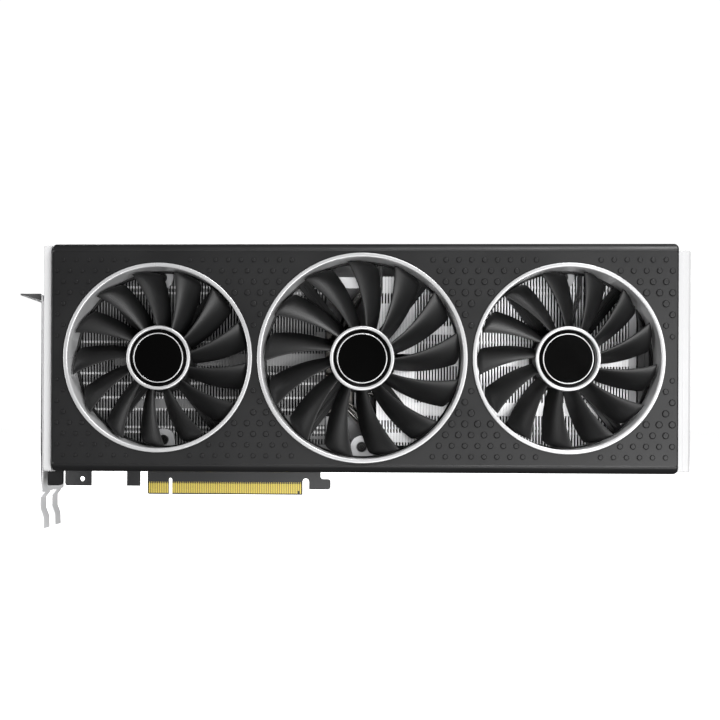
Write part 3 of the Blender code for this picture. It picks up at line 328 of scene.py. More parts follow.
FINISH = {
    "black_plastic": finish("shroud_plastic", grey(0.008, 1.04), 0.42, edge_highlight=0.04, shine=0.24),
    "rotor_black": finish(
        "rotor_plastic", grey(0.006, 1.03), 0.46, grain=(3000, 0.012), edge_highlight=0.04, shine=0.28,
    ),
    "silver_trim": finish(
        "silver_paint", grey(0.41, 1.01), 0.3, metallic=0.35, spread=(0.03, 0.05),
        grain=(4000, 0.006), edge_highlight=0.02,
    ),
    "pale_plastic": finish(
        "pale_plastic", grey(0.44, 1.01), 0.42, spread=(0.03, 0.05), grain=(2600, 0.012),
        edge_highlight=0.02,
    ),
    "fin_aluminium": finish(
        "fin_aluminium", grey(0.92, 1.01), 0.38, metallic=0.1, spread=(0.06, 0.08),
        grain=(2400, 0.01), along=(1, 1, 0.06), edge_highlight=0.05,
    ),
    "nickel_pipe": finish(
        "nickel_pipe", (0.78, 0.76, 0.73), 0.2, metallic=1.0, spread=(0.06, 0.06),
        grain=(1800, 0.008), along=(0.08, 1, 1), edge_highlight=0.02,
    ),
    "copper": finish(
        "tinned_copper", (0.34, 0.32, 0.30), 0.35, metallic=0.8, spread=(0.08, 0.08),
        grain=(1500, 0.01), along=(1, 1, 0.1), edge_highlight=0.02,
    ),
    "grey_sheet": finish(
        "grey_sheet", grey(0.42, 1.02), 0.42, metallic=0.3, spread=(0.06, 0.08),
        grain=(2400, 0.012), along=(0.1, 1, 1), edge_highlight=0.05,
    ),
    "board": finish(
        "solder_mask", (0.015, 0.0153, 0.0162), 0.38, spread=(0.15, 0.06), grain=(1400, 0.02),
        edge_highlight=0.03,
    ),
    "gold": finish(
        "contact_gold", (0.68, 0.54, 0.11), 0.3, metallic=0.25, spread=(0.08, 0.08),
        grain=(2600, 0.008), along=(1, 1, 0.1), edge_highlight=0.02,
    ),
    "bracket_steel": finish(
        "bracket_steel", grey(0.82, 1.01), 0.32, metallic=0.15, spread=(0.04, 0.07),
        grain=(2200, 0.008), along=(1, 1, 0.05), edge_highlight=0.03,
    ),
    "laminations": finish(
        "laminations", grey(0.22), 0.5, metallic=0.8, spread=(0.1, 0.1), grain=(2800, 0.02),
        along=(1, 6, 1),
    ),
    "magnet": finish("magnet", grey(0.06), 0.6, metallic=0.3),
    "bronze": finish("bronze", (0.55, 0.36, 0.18), 0.4, metallic=1.0, spread=(0.1, 0.1)),
    "steel": finish(
        "steel", grey(0.66), 0.28, metallic=0.95, spread=(0.06, 0.08), grain=(2400, 0.01),
        along=(1, 1, 0.1),
    ),
    "chip": finish(
        "chip_package", grey(0.028), 0.5, spread=(0.12, 0.08), grain=(3000, 0.012),
    ),
    "backplate_black": finish(
        "backplate_coating", grey(0.030, 1.03), 0.46, metallic=0.35, spread=(0.1, 0.06),
        grain=(3200, 0.022), edge_highlight=0.05,
    ),
    "lead_black": finish(
        "lead_sleeve", grey(0.10), 0.5, spread=(0.1, 0.08), grain=(3000, 0.015),
    ),
}
BADGE_BLACK = finish(
    "badge_black", grey(0.001), 0.16, spread=(0.05, 0.04), grain=(3600, 0.004), edge_highlight=0.0,
    shine=0.15,
)
# Near-black aluminium for the fin sheets and base: painted shade in the gaps between the fins.
FIN_SHEET_PAINTED_SHADE = finish(
    "fin_sides_painted_shade", grey(0.03, 1.01), 0.5, metallic=0.3, spread=(0.1, 0.1), grain=(2400, 0.01),
    along=(1, 1, 0.06), edge_highlight=0.0,
)
# A darker copy of the pale plastic for the end cap: painted shade against the strong light on that end.
CAP_PAINTED_SHADE = finish(
    "cap_painted_shade", grey(0.35, 1.01), 0.42, spread=(0.03, 0.05), grain=(2600, 0.012), edge_highlight=0.02,
)
# Grey for the shroud's black inner wall: painted light on a wall in the duct's shadow.
INNER_WALL_PAINTED_LIGHT = finish(
    "inner_wall", grey(0.1, 1.02), 0.5, spread=(0.08, 0.08), grain=(2400, 0.015), edge_highlight=0.02,
)
# Near-black for the flat rings round the grip dots: painted shadow.
DOT_PAINTED_SHADOW = finish(
    "dot_painted_shadow", grey(0.003), 0.75, spread=(0.1, 0.08), grain=(2600, 0.01), edge_highlight=0.0,
    shine=0.1,
)
# A dark copy of the bracket steel for the gusset: painted shade.
GUSSET_PAINTED_SHADE = finish(
    "gusset_painted_shade", grey(0.07, 1.01), 0.4, metallic=0.3, spread=(0.04, 0.07),
    grain=(2200, 0.008), along=(1, 1, 0.05), edge_highlight=0.03,
)
# Darker copies of the fin aluminium for the left stack's lips and tab rows: painted shade.
FIN_LEFT_PAINTED_SHADE = finish(
    "fin_left_painted_shade", grey(0.15, 1.01), 0.45, metallic=0.15, spread=(0.08, 0.08),
    grain=(2400, 0.01), along=(1, 1, 0.06), edge_highlight=0.03,
)
FIN_ROW_LEFT_PAINTED_SHADE = finish(
    "fin_row_left_painted_shade", grey(0.5, 1.01), 0.45, metallic=0.15, spread=(0.08, 0.08),
    grain=(2400, 0.01), along=(1, 1, 0.06), edge_highlight=0.03,
)
SCREW_BLACK = finish(
    "screw_black", grey(0.03), 0.32, metallic=0.7, spread=(0.1, 0.08), grain=(2600, 0.01),
    edge_highlight=0.15,
)


# Mesh helpers.


def add_piece(name, bm, slot, replaces=(), surface=None, sharp=32.0, body="card"):
    """Turns a bmesh into a shaded piece that rides on a body."""
    bmesh.ops.recalc_face_normals(bm, faces=bm.faces)
    mesh = bpy.data.meshes.new(name)
    bm.to_mesh(mesh)
    bm.free()
    shade(mesh, sharp)
    mesh.materials.append(surface or FINISH[slot])
    piece = bpy.data.objects.new(name, mesh)
    bpy.context.scene.collection.objects.link(piece)
    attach(piece, body)
    if replaces:
        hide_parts(*replaces)
    return piece


def shade(mesh, sharp=32.0):
    mesh.shade_smooth()
    mesh.set_sharp_from_angle(angle=math.radians(sharp))


def soften(piece, width, segments=2):
    """Rounds the sharp edges and keeps the flat faces flat."""
    bevel = piece.modifiers.new("soften", "BEVEL")
    bevel.width = width
    bevel.segments = segments
    bevel.limit_method = "ANGLE"
    bevel.angle_limit = math.radians(32.0)
    bevel.harden_normals = True
    return piece


def cut(piece, bm, operation="DIFFERENCE"):
    """Applies one exact Boolean to a piece and removes its tool."""
    bmesh.ops.recalc_face_normals(bm, faces=bm.faces)
    mesh = bpy.data.meshes.new("tool")
    bm.to_mesh(mesh)
    bm.free()
    tool = bpy.data.objects.new("tool", mesh)
    bpy.context.scene.collection.objects.link(tool)
    step = piece.modifiers.new("cut", "BOOLEAN")
    step.operation = operation
    step.solver = "EXACT"
    step.object = tool
    graph = bpy.context.evaluated_depsgraph_get()
    result = bpy.data.meshes.new_from_object(piece.evaluated_get(graph))
    piece.modifiers.remove(step)
    piece.data = result
    bpy.data.objects.remove(tool, do_unlink=True)
    shade(result)


def add_box(bm, x, y, z, turn=Matrix()):
    size = Vector((x[1] - x[0], y[1] - y[0], z[1] - z[0]))
    middle = Vector((x[0] + x[1], y[0] + y[1], z[0] + z[1])) / 2
    matrix = turn @ Matrix.Translation(middle) @ Matrix.Diagonal((*size, 1.0))
    bmesh.ops.create_cube(bm, size=1.0, matrix=matrix)


def boxes(*ranges):
    bm = bmesh.new()
    for x, y, z in ranges:
        add_box(bm, x, y, z)
    return bm


def join_loops(bm, first, second):
    count = len(first)
    for k in range(count):
        n = (k + 1) % count
        bm.faces.new((first[k], first[n], second[n], second[k]))


def add_loft(bm, loops, closed=False):
    """Skins closed loops of points in order, with a flat cap at each end unless they close."""
    rings = [[bm.verts.new(point) for point in loop] for loop in loops]
    for first, second in zip(rings, rings[1:]):
        join_loops(bm, first, second)
    if closed:
        join_loops(bm, rings[-1], rings[0])
    else:
        bm.faces.new(rings[0])
        bm.faces.new(list(reversed(rings[-1])))
    return rings


def add_turned(bm, profile, centre, segments, closed=True):
    """Revolves (radius, y) points about a fan-wise axis through centre (x, z)."""
    loops = []
    for radius, y in profile:
        turn = [2 * math.pi * k / segments for k in range(segments)]
        loops.append(
            [(centre[0] + radius * math.cos(a), y, centre[1] + radius * math.sin(a)) for a in turn]
        )
    add_loft(bm, loops, closed)


def turned(profile, centre, segments, closed=True):
    bm = bmesh.new()
    add_turned(bm, profile, centre, segments, closed)
    return bm


def stepped(radius, y, *moves):
    """Profile points given as millimetres outwards and back from one (radius, y)."""
    return [(radius + out * MM, y + back * MM) for out, back in moves]


def add_prism(bm, outline, axis, low, high):
    """Extrudes an outline along Y (points x, z), X (points y, z) or Z (points x, y)."""
    place = {
        "X": lambda u, v, w: (w, u, v),
        "Y": lambda u, v, w: (u, w, v),
        "Z": lambda u, v, w: (u, v, w),
    }[axis]
    add_loft(bm, [[place(u, v, w) for u, v in outline] for w in (low, high)])


def prism(outline, axis, low, high):
    bm = bmesh.new()
    add_prism(bm, outline, axis, low, high)
    return bm


def arc(centre, radius, start, end, steps):
    points = []
    for k in range(steps + 1):
        angle = math.radians(start + (end - start) * k / steps)
        points.append((centre[0] + radius * math.cos(angle), centre[1] + radius * math.sin(angle)))
    return points


def rounded(x, z, radius, steps=6):
    """A rectangle's outline with rounded corners."""
    points = arc((x[1] - radius, z[0] + radius), radius, -90, 0, steps)
    points += arc((x[1] - radius, z[1] - radius), radius, 0, 90, steps)
    points += arc((x[0] + radius, z[1] - radius), radius, 90, 180, steps)
    points += arc((x[0] + radius, z[0] + radius), radius, 180, 270, steps)
    return points


def around(middle, half):
    return middle - half, middle + half


def fan_of(name):
    """Centre x, centre z and outer radius of a fan's trim ring."""
    low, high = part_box("trim_ring_" + name)
    return (low.x + high.x) / 2, (low.z + high.z) / 2, (high.x - low.x) / 2


def add_screw(bm, x, z, y, radius, height, out=-1):
    """A pan head with a cross recess; out is the direction along Y that it faces."""
    face = y + out * height
    rim = [(radius, y), (radius, y + out * 0.45 * height), (0.86 * radius, face), (0.55 * radius, face)]
    add_turned(bm, [*rim, (0.5 * radius, face - out * 0.35 * height), (0.5 * radius, y)], (x, z), 24)
    floor = (y + out * 0.3 * height, y + out * 0.62 * height)
    add_turned(bm, [(0.56 * radius, floor[0]), (0.56 * radius, floor[1])], (x, z), 24, False)
    for turn in CORNERS:
        tilt = Matrix.Translation((x, 0, z)) @ Matrix.Rotation(math.radians(turn), 4, "Y")
        quarter = (0.12 * radius, 0.42 * radius)
        layer = sorted((floor[0], face - out * 0.1 * height))
        add_box(bm, quarter, layer, around(0.0, 0.13 * radius), tilt)


def flatten(piece):
    """Weights normals by face area, so that flat faces stay flat beside rounded edges."""
    weigh = piece.modifiers.new("flatten", "WEIGHTED_NORMAL")
    weigh.mode = "FACE_AREA"
    weigh.keep_sharp = True
    return piece


# Shroud.

SHROUD_WALL = 2.0 * MM
SHROUD_CORNER = 2.2 * MM
LEAST_CORNER = 0.8 * MM
SIDE_RIM = 0.3

# Rolled edge: millimetres in from the outline, and Y in millimetres.
RIM = (
    (0.0, 0.0),
    (0.0, -41.6),
    (0.12, -42.4),
    (0.45, -43.3),
    (1.0, -44.15),
    (1.7, -44.85),
    (2.45, -45.4),
    (3.1, -45.7),
    (3.6, -45.82),
    (3.95, -45.7),
    (4.25, -45.5),
)

LUG_X = mm(-93.5, -86.0)
LUG_Y = mm(-37.0, -33.6)
LUG_Z = mm(6.7, 15.6)
LUG_STEP = 13.9 * MM
LUG_CORNER = 2.0 * MM

VENTS = 10
VENT_HALF = 10.0 * MM
VENT_Y = mm(-33.0, -21.0)
WINDOW_FRONT = -37.0 * MM
WINDOW_Z = mm(24.0, 120.0)
OPENING_CORNER = 1.5 * MM

PANEL_Y = mm(-24.2, -22.6)
PANEL_RIBS = ((0.0, 1.2 * MM, -25.4 * MM), (3.4 * MM, 4.4 * MM, -25.0 * MM))


def shroud_loop(inset, y):
    """The cover's outline at one depth; the rim takes less from the ends than from the long edges."""
    side = SIDE_RIM * inset
    x = (SHROUD_X[0] + side, SHROUD_X[1] - side)
    z = (SHROUD_Z[0] + inset, SHROUD_Z[1] - inset)
    corner = max(LEAST_CORNER, SHROUD_CORNER - SIDE_RIM * inset)
    return [(px, y, pz) for px, pz in rounded(x, z, corner, 8)]


def make_shroud():
    """A thin moulded cover: raised rims along the long edges, fan holes and side vents."""
    loops = [shroud_loop(0.0, SHROUD_BACK)]
    loops += [shroud_loop(inset * MM, y * MM) for inset, y in RIM[1:]]
    bm = bmesh.new()
    add_loft(bm, loops)
    shell = add_piece("shroud_shell", bm, "black_plastic", ("shroud",))
    cut(shell, shroud_lug(), "UNION")
    inner_x = (SHROUD_X[0] + SHROUD_WALL, SHROUD_X[1] - SHROUD_WALL)
    inner_z = (SHROUD_Z[0] + SHROUD_WALL, SHROUD_Z[1] - SHROUD_WALL)
    inner = rounded(inner_x, inner_z, 1.0 * MM)
    cut(shell, prism(inner, "Y", FACE_Y + SHROUD_WALL, SHROUD_BACK + PAST))
    for name in FANS:
        x, z, radius = fan_of(name)
        hole = [(radius - MM, FACE_Y - PAST), (radius - MM, FACE_Y + PAST)]
        cut(shell, turned(hole, (x, z), 160, False))
    for tool in shroud_vents():
        cut(shell, tool)
    flatten(shell)


def make_inner_panel():
    """The moulded wall beyond the fins at the free end, with two upright ribs; its black plastic is
    greyed, painted light on a wall in the duct's shadow.
    """
    low, high = END_PLATE[1] + 0.6 * MM, SHROUD_X[1] - SHROUD_WALL
    z = (SHROUD_Z[0] + SHROUD_WALL, SHROUD_Z[1] - SHROUD_WALL)
    bm = boxes(((low, high), PANEL_Y, z))
    for start, end, front in PANEL_RIBS:
        add_box(bm, (low + start, low + end), (front, -23.0 * MM), z)
    soften(add_piece("shroud_inner_wall", bm, "black_plastic", surface=INNER_WALL_PAINTED_LIGHT), 0.2 * MM)


def shroud_lug():
    """A small ear below the lower left corner, with one rounded corner."""
    left, right = LUG_X
    foot, top = LUG_Z
    inside = SHROUD_X[0] + 0.2 * MM
    outline = [(left, foot + 0.4 * MM), (left + 0.4 * MM, foot)]
    outline += arc((right - LUG_CORNER, foot + LUG_CORNER), LUG_CORNER, -90, 0, 8)
    outline += [(right, top), (inside, top), (inside, LUG_STEP), (left, LUG_STEP)]
    return prism(outline, "Y", *LUG_Y)


def shroud_vents():
    """Long slots through the top and bottom walls, and the exhaust window at the bracket end."""
    pitch = (SHROUD_X[1] - SHROUD_X[0]) / VENTS
    slots = bmesh.new()
    for index in range(VENTS):
        middle = SHROUD_X[0] + pitch * (index + 0.5)
        outline = rounded(around(middle, VENT_HALF), VENT_Y, OPENING_CORNER)
        add_prism(slots, outline, "Z", SHROUD_Z[0] - PAST, SHROUD_Z[1] + PAST)
    window = rounded((WINDOW_FRONT, -12.0 * MM), WINDOW_Z, OPENING_CORNER)
    return slots, prism(window, "X", SHROUD_X[0] - PAST, SHROUD_X[0] + PAST)


DOT_PITCH = mm(6.46, 5.5)
DOT_ROWS = 9
DOT_COLUMNS = 26
DOT_CLEARANCE = 2.6 * MM
DOT_MARGINS = mm(2.6, 2.4)
OUTER_ROW_GAP = 32.5 * MM

# The dots are largest between the middle and the outer rows, and at the free end.
DOT_RADIUS = 1.14
DOT_SWELL = 0.5
SWOLLEN_ROW = 5.5
SWELL_ROWS = 2.6
DOT_FADE = 170.0 * MM
FADED_SHARE = 0.66
DOT_SIDES = 18

# Sections of a dot and of the thin flat dark ring round it, a painted shadow: shares of the radius, and
# millimetres behind the face.
DOT_DOME = ((1.0, 0.15), (0.95, -0.2), (0.88, -0.36), (0.8, -0.42), (0.72, -0.43))
DOT_SHADOW_RING = ((1.18, 0.1), (1.14, -0.02), (0.98, -0.02), (0.98, 0.1))


def dot_places():
    """Centre x, centre z and radius of every grip dot; they shrink towards the bracket end."""
    fans = [fan_of(name) for name in FANS]
    middle_x, middle_z, _ = fans[1]
    for row in (*range(-DOT_ROWS, 0), *range(1, DOT_ROWS + 1)):
        z = middle_z + row * DOT_PITCH[1]
        swell = DOT_SWELL * math.exp(-(((abs(row) - SWOLLEN_ROW) / SWELL_ROWS) ** 2))
        size = (DOT_RADIUS + swell) * MM
        for column in range(-DOT_COLUMNS, DOT_COLUMNS + 1):
            x = middle_x + (column + 0.5 * (row % 2)) * DOT_PITCH[0]
            inside = SHROUD_X[0] + DOT_MARGINS[0] < x < SHROUD_X[1] - DOT_MARGINS[1]
            clear = all(math.hypot(x - fx, z - fz) > r + DOT_CLEARANCE for fx, fz, r in fans)
            spaced = abs(row) < DOT_ROWS or abs(x - middle_x) > OUTER_ROW_GAP
            grown = min(1.0, (x - SHROUD_X[0]) / DOT_FADE)
            if inside and clear and spaced:
                yield x, z, size * (FADED_SHARE + (1.0 - FADED_SHARE) * grown)


def make_dots():
    """Low domes on the face, each ringed by a thin flat dark annulus that is a painted shadow."""
    bm = bmesh.new()
    shadow_rings = bmesh.new()
    for x, z, radius in dot_places():
        dome = [(share * radius, FACE_Y + back * MM) for share, back in DOT_DOME]
        add_turned(bm, dome, (x, z), DOT_SIDES, False)
        # A thin flat dark ring round each dot: painted shadow.
        foot = [(share * radius, FACE_Y + back * MM) for share, back in DOT_SHADOW_RING]
        add_turned(shadow_rings, foot, (x, z), DOT_SIDES)
    flatten(add_piece("grip_dots", bm, "black_plastic", sharp=60))
    add_piece("grip_dot_painted_shadows", shadow_rings, "black_plastic", surface=DOT_PAINTED_SHADOW)


# Fans.

LIP = 2.1 * MM
DUCT_BACK = -29.5 * MM
DUCT_WALL = 0.8 * MM


def make_trim_ring(name):
    """A bright flanged ring: a rounded lip on the shroud's face and a duct behind it."""
    x, z, radius = fan_of(name)
    inner = radius - LIP
    profile = stepped(radius, FACE_Y, (0, -0.03), (0, -0.75), (-0.12, -0.98), (-0.4, -1.1))
    profile += stepped(inner, FACE_Y, (0.65, -1.1), (0.25, -0.95), (0.04, -0.6), (0, 0))
    profile += stepped(inner, DUCT_BACK, (0, -0.3), (0.2, 0))
    profile += [(inner + DUCT_WALL, DUCT_BACK), (inner + DUCT_WALL, FACE_Y - 0.03 * MM)]
    ring = turned(profile, (x, z), 224)
    piece = add_piece("fan_trim_" + name, ring, "silver_trim", ("trim_ring_" + name,), sharp=40)
    flatten(piece)


BLADES = 13
BLADE_ROOT = 15.5 * MM
TIP_GAP = 3.3 * MM

# Angles are in degrees; the sweep is degrees per metre outwards.
BLADE_START = {"left": 12.3, "centre": 1.0, "right": 11.9}
BLADE_SWEEP = 0.43 / MM
BLADE_ANGLE = 18.3
TIP_LESS = 1.0

BLADE_LOW = -42.6 * MM
BLADE_DEPTH = 11.2 * MM
BLADE_CURVE = 1.7
ROOT_DROP = 1.2 * MM
TIP_FLATTER = 0.12
BLADE_THICK = 1.3 * MM
TIP_CORNER = mm(9.0, 2.6)


def blade_width(radius, tip):
    """Angle covered by a blade at one radius; the trailing corner at the tip is rounded."""
    share = (radius - BLADE_ROOT) / (tip - BLADE_ROOT)
    width = BLADE_ANGLE - TIP_LESS * share
    inside = min(1.0, max(0.0, 1.0 - (tip - radius) / TIP_CORNER[1]))
    lost = TIP_CORNER[0] * (1.0 - math.sqrt(1.0 - 0.98 * inside * inside))
    return width - math.degrees(lost / radius)


def blade_point(radius, chord, tip, start):
    """A point of the blade's middle surface; the chord runs from the leading edge clockwise."""
    share = (radius - BLADE_ROOT) / (tip - BLADE_ROOT)
    lead = start + BLADE_SWEEP * (radius - BLADE_ROOT)
    angle = math.radians(lead - chord * blade_width(radius, tip))
    drop = BLADE_DEPTH * (1.0 - TIP_FLATTER * share) * chord**BLADE_CURVE
    depth = BLADE_LOW + ROOT_DROP * (1.0 - share) + drop
    return Vector((radius * math.cos(angle), depth, radius * math.sin(angle)))


def blade_loop(radius, tip, start, thickness):
    """A blade's closed section at one radius, with rounded leading and trailing edges."""
    steps = 18
    front = []
    back = []
    for k in range(steps + 1):
        chord = 0.5 - 0.5 * math.cos(math.pi * k / steps)
        point = blade_point(radius, chord, tip, start)
        along = blade_point(radius, min(1, chord + 0.01), tip, start)
        along -= blade_point(radius, max(0, chord - 0.01), tip, start)
        out = blade_point(radius + 0.1 * MM, chord, tip, start) - point
        normal = along.cross(out).normalized()
        half = 0.5 * thickness * min(1.0, math.sin(math.pi * k / steps) * 3.2 + 0.02) ** 0.5
        front.append(point - normal * half)
        back.append(point + normal * half)
    return front + list(reversed(back))


def blade_radii(tip):
    """Stations from root to tip, closer together where the corner rounds off."""
    radii = [BLADE_ROOT + (tip - 2.8 * MM - BLADE_ROOT) * k / 12 for k in range(13)]
    return radii + [tip - d * MM for d in (2.2, 1.7, 1.25, 0.85, 0.5, 0.25, 0.1, 0.0)]


def make_rotor(name):
    """A hub with thirteen swept blades, each flat at its leading edge and steep behind."""
    x, z, radius = fan_of(name)
    tip = radius - TIP_GAP
    bm = bmesh.new()
    for blade in range(BLADES):
        start = BLADE_START[name] + 360.0 * blade / BLADES
        loops = []
        for station in blade_radii(tip):
            taper = min(1.0, 0.45 + (tip - station) / (0.9 * MM))
            loop = blade_loop(station, tip, start, BLADE_THICK * taper)
            loops.append([(p.x + x, p.y, p.z + z) for p in loop])
        add_loft(bm, loops)
    add_turned(bm, hub_profile(), (x, z), 128, False)
    add_piece("fan_rotor_" + name, bm, "rotor_black", ("rotor_" + name,), sharp=45, body="fan_" + name)


HUB_RADIUS = 16.2 * MM
HUB_WALL = 1.3 * MM
HUB_BORE = 2.0 * MM
HUB_FRONT = -43.2 * MM
HUB_BACK = -30.4 * MM


def hub_profile():
    """The cup that carries the blades: rounded front edge, thin wall and open back."""
    inner = HUB_RADIUS - HUB_WALL
    floor = HUB_FRONT + HUB_WALL
    outside = stepped(HUB_RADIUS, HUB_FRONT, (-0.7, 0), (-0.25, 0.12), (-0.06, 0.4), (0, 0.8))
    outside += stepped(HUB_RADIUS, HUB_BACK, (0, -0.3), (-0.3, 0))
    return [(HUB_BORE, HUB_FRONT), *outside, (inner, HUB_BACK), (inner, floor), (HUB_BORE, floor)]


BEZEL_RADIUS = 16.3 * MM
BEZEL_WIDTH = 1.7 * MM
CIRCLE_RADIUS = 12.44 * MM


def make_hub_trim(name):
    """The bright ring on the hub, the blank dark disc inside it and the disc's thin pale circle."""
    x, z, _ = fan_of(name)
    body = "fan_" + name
    low, high = span_of("hub_ring_" + name, Y)
    outer = BEZEL_RADIUS
    inner = outer - BEZEL_WIDTH
    bead = stepped(outer, low, (0, 0.55), (-0.12, 0.2), (-0.4, 0.02), (-0.85, 0))
    bead += stepped(inner, low, (0.4, 0.06), (0.12, 0.25), (0, 0.6))
    ring = turned([(outer, high), *bead, (inner, high)], (x, z), 160)
    add_piece("hub_bezel_" + name, ring, "silver_trim", ("hub_ring_" + name,), sharp=50, body=body)
    disc = inner - 0.2 * MM
    top, back = span_of("hub_badge_" + name, Y)
    face = stepped(disc, top, (0, 0.2), (-0.15, 0.05), (-0.4, 0), (-1.3, 0), (-1.45, 0.07))
    badge = turned([(disc, back), *face, (0.2 * MM, top + 0.07 * MM)], (x, z), 128, False)
    node = ("hub_badge_" + name,)
    add_piece("hub_disc_" + name, badge, "rotor_black", node, BADGE_BLACK, 20, body)
    line = stepped(CIRCLE_RADIUS, top, (0.24, 0.3), (0.24, -0.02), (0.16, -0.08))
    line += stepped(CIRCLE_RADIUS, top, (-0.16, -0.08), (-0.24, -0.02), (-0.24, 0.3))
    add_piece("hub_circle_" + name, turned(line, (x, z), 128), "silver_trim", sharp=50, body=body)


STRUT_ANGLES = (52.0, 128.0, 232.0, 308.0)
FRAME_Y = mm(-29.0, -26.6)
SEAT_RADIUS = 17.3 * MM
SEAT_BORE = 2.0 * MM
BOSS_FRONT = -39.1 * MM
POST_REACH = 2.6 * MM
POST_FRONT = -43.2 * MM


def make_fan_frame(name):
    """The rim, struts, motor seat, bearing boss and screw posts behind one fan."""
    x, z, radius = fan_of(name)
    front, back = FRAME_Y
    rim = stepped(radius, front, (0.5, 0), (-2.6, 0), (-3.0, 0.4))
    bm = turned([(radius + 0.5 * MM, back), *rim, (radius - 3.0 * MM, back)], (x, z), 128)
    seat = [(SEAT_RADIUS, back), *stepped(SEAT_RADIUS, front, (0, 0.5), (-0.5, 0))]
    add_turned(bm, [*seat, (SEAT_BORE, front), (SEAT_BORE, back)], (x, z), 96)
    for angle in STRUT_ANGLES:
        turn = Matrix.Translation((x, 0, z)) @ Matrix.Rotation(math.radians(-angle), 4, "Y")
        add_box(bm, (16.0 * MM, radius - 1.0 * MM), (front + 0.02 * MM, back), around(0, 3.0 * MM), turn)
        ribs = (20.0 * MM, radius - 4.0 * MM), (front - 0.9 * MM, front + 0.5 * MM)
        add_box(bm, *ribs, around(0.0, 0.6 * MM), turn)
    boss = [(4.3 * MM, front + MM), (4.3 * MM, BOSS_FRONT + 0.3 * MM), (4.0 * MM, BOSS_FRONT)]
    add_turned(bm, [*boss, (3.0 * MM, BOSS_FRONT), (3.0 * MM, front + MM)], (x, z), 48)
    for angle in CORNERS:
        reach = radius + POST_REACH
        place = (x + reach * math.cos(math.radians(angle)), z + reach * math.sin(math.radians(angle)))
        post = [(3.2 * MM, back), (3.2 * MM, POST_FRONT + 0.2 * MM), (2.9 * MM, POST_FRONT)]
        add_turned(bm, post, place, 32, False)
    frame_node = ("fan_frame_" + name,)
    piece = add_piece("fan_spider_" + name, bm, "rotor_black", frame_node)
    soften(piece, 0.25 * MM)


# Cooler.

FIN_STEP = 1.54 * MM
FIN_THIN = 0.32 * MM
FIN_LIP = 0.72 * MM
TAB_WIDTH = 0.9 * MM
TAB_HEIGHT = 1.2 * MM
BASE_THICK = 0.8 * MM

# Ends of the stacks along X, in millimetres.
LEFT_END = 49.0
RIGHT_START = 74.9
RIGHT_END = 206.8

# Places where the lips close into a plate: X from, X to, Z from, Z to, in millimetres.
LEFT_PLATES = (
    (-62.0, 48.6, 69.3, 75.7),
    (24.0, LEFT_END, 38.5, 43.5),
    (41.0, LEFT_END, 31.0, 32.6),
    (27.0, 41.0, 106.0, 110.0),
    (44.0, LEFT_END, 80.0, 87.0),
    (-50.5, -19.0, 46.6, 52.0),
)
RIGHT_PLATES = (
    (RIGHT_START, 96.0, 41.0, 102.0),
    (RIGHT_START, RIGHT_END, 69.3, 75.7),
    (96.0, 204.0, 43.5, 50.3),
    (104.0, 122.0, 85.8, 90.2),
    (RIGHT_START, 97.0, 29.5, 34.5),
    (RIGHT_START, 100.0, 107.5, 115.8),
)

# Heights of the rows of locking tabs, in millimetres.
RIGHT_ROWS = (110.4, 107.4, 81.7, 60.0, 37.0, 34.4)
LEFT_ROWS = (110.4, 107.4, 81.7, 65.2, 60.0, 52.5, 46.3, 37.0, 34.4)

BRIDGE_Z = mm(110.0, 115.8)
END_PLATE = ((RIGHT_END + 0.2) * MM, (RIGHT_END + 4.1) * MM)


def make_fin_stack(name, plates):
    """Folded front lips of the fins; some are wide enough to close into plates."""
    low, high = fin_span(name)
    front = FIN_Y[0]
    bm = bmesh.new()
    for x in fin_places(low, high):
        left = x - FIN_LIP / 2
        add_box(bm, (left, left + FIN_LIP), (front + 0.06 * MM, front + 0.36 * MM), FIN_Z)
        wide = around(x, FIN_STEP / 2 - 0.05 * MM)
        for x0, x1, z0, z1 in plates:
            if x0 * MM < x < x1 * MM:
                add_box(bm, wide, (front, front + 0.34 * MM), (z0 * MM, z1 * MM))
    return bm


def make_fin_rows(name, rows, look=None):
    """The rows of locking tabs that join each lip to the next."""
    low, high = fin_span(name)
    depth = (FIN_Y[0] - 0.02 * MM, FIN_Y[0] + 0.34 * MM)
    bm = bmesh.new()
    for x in fin_places(low, high):
        left = x - FIN_LIP / 2
        for z in rows:
            add_box(bm, (left, left + TAB_WIDTH), depth, around(z * MM, TAB_HEIGHT / 2))
    add_piece(name.replace("fin_stack", "fin_rows"), bm, "fin_aluminium", surface=look)


def fin_span(name):
    """Low and high X of a stack's own fins, without the bridge."""
    if name == "fin_stack_left":
        return span_of(name, X)[0], LEFT_END * MM
    return RIGHT_START * MM, RIGHT_END * MM


def fin_places(low, high):
    """Middle of each fin, counted from the stack's free end."""
    return [high - (k + 0.5) * FIN_STEP for k in range(int((high - low) / FIN_STEP))]


def make_fin_sheets(name):
    """The thin sheets behind the lips and the base that joins them, near black: painted shade in the gaps
    between the fins.
    """
    low, high = fin_span(name)
    bm = boxes(((low, high), (FIN_Y[1] - BASE_THICK, FIN_Y[1]), FIN_Z))
    for x in fin_places(low, high):
        left = x - FIN_LIP / 2
        add_box(bm, (left, left + FIN_THIN), (FIN_Y[0] + 0.1 * MM, FIN_Y[1]), FIN_Z)
    add_piece("sheets_" + name, bm, "fin_aluminium", surface=FIN_SHEET_PAINTED_SHADE)


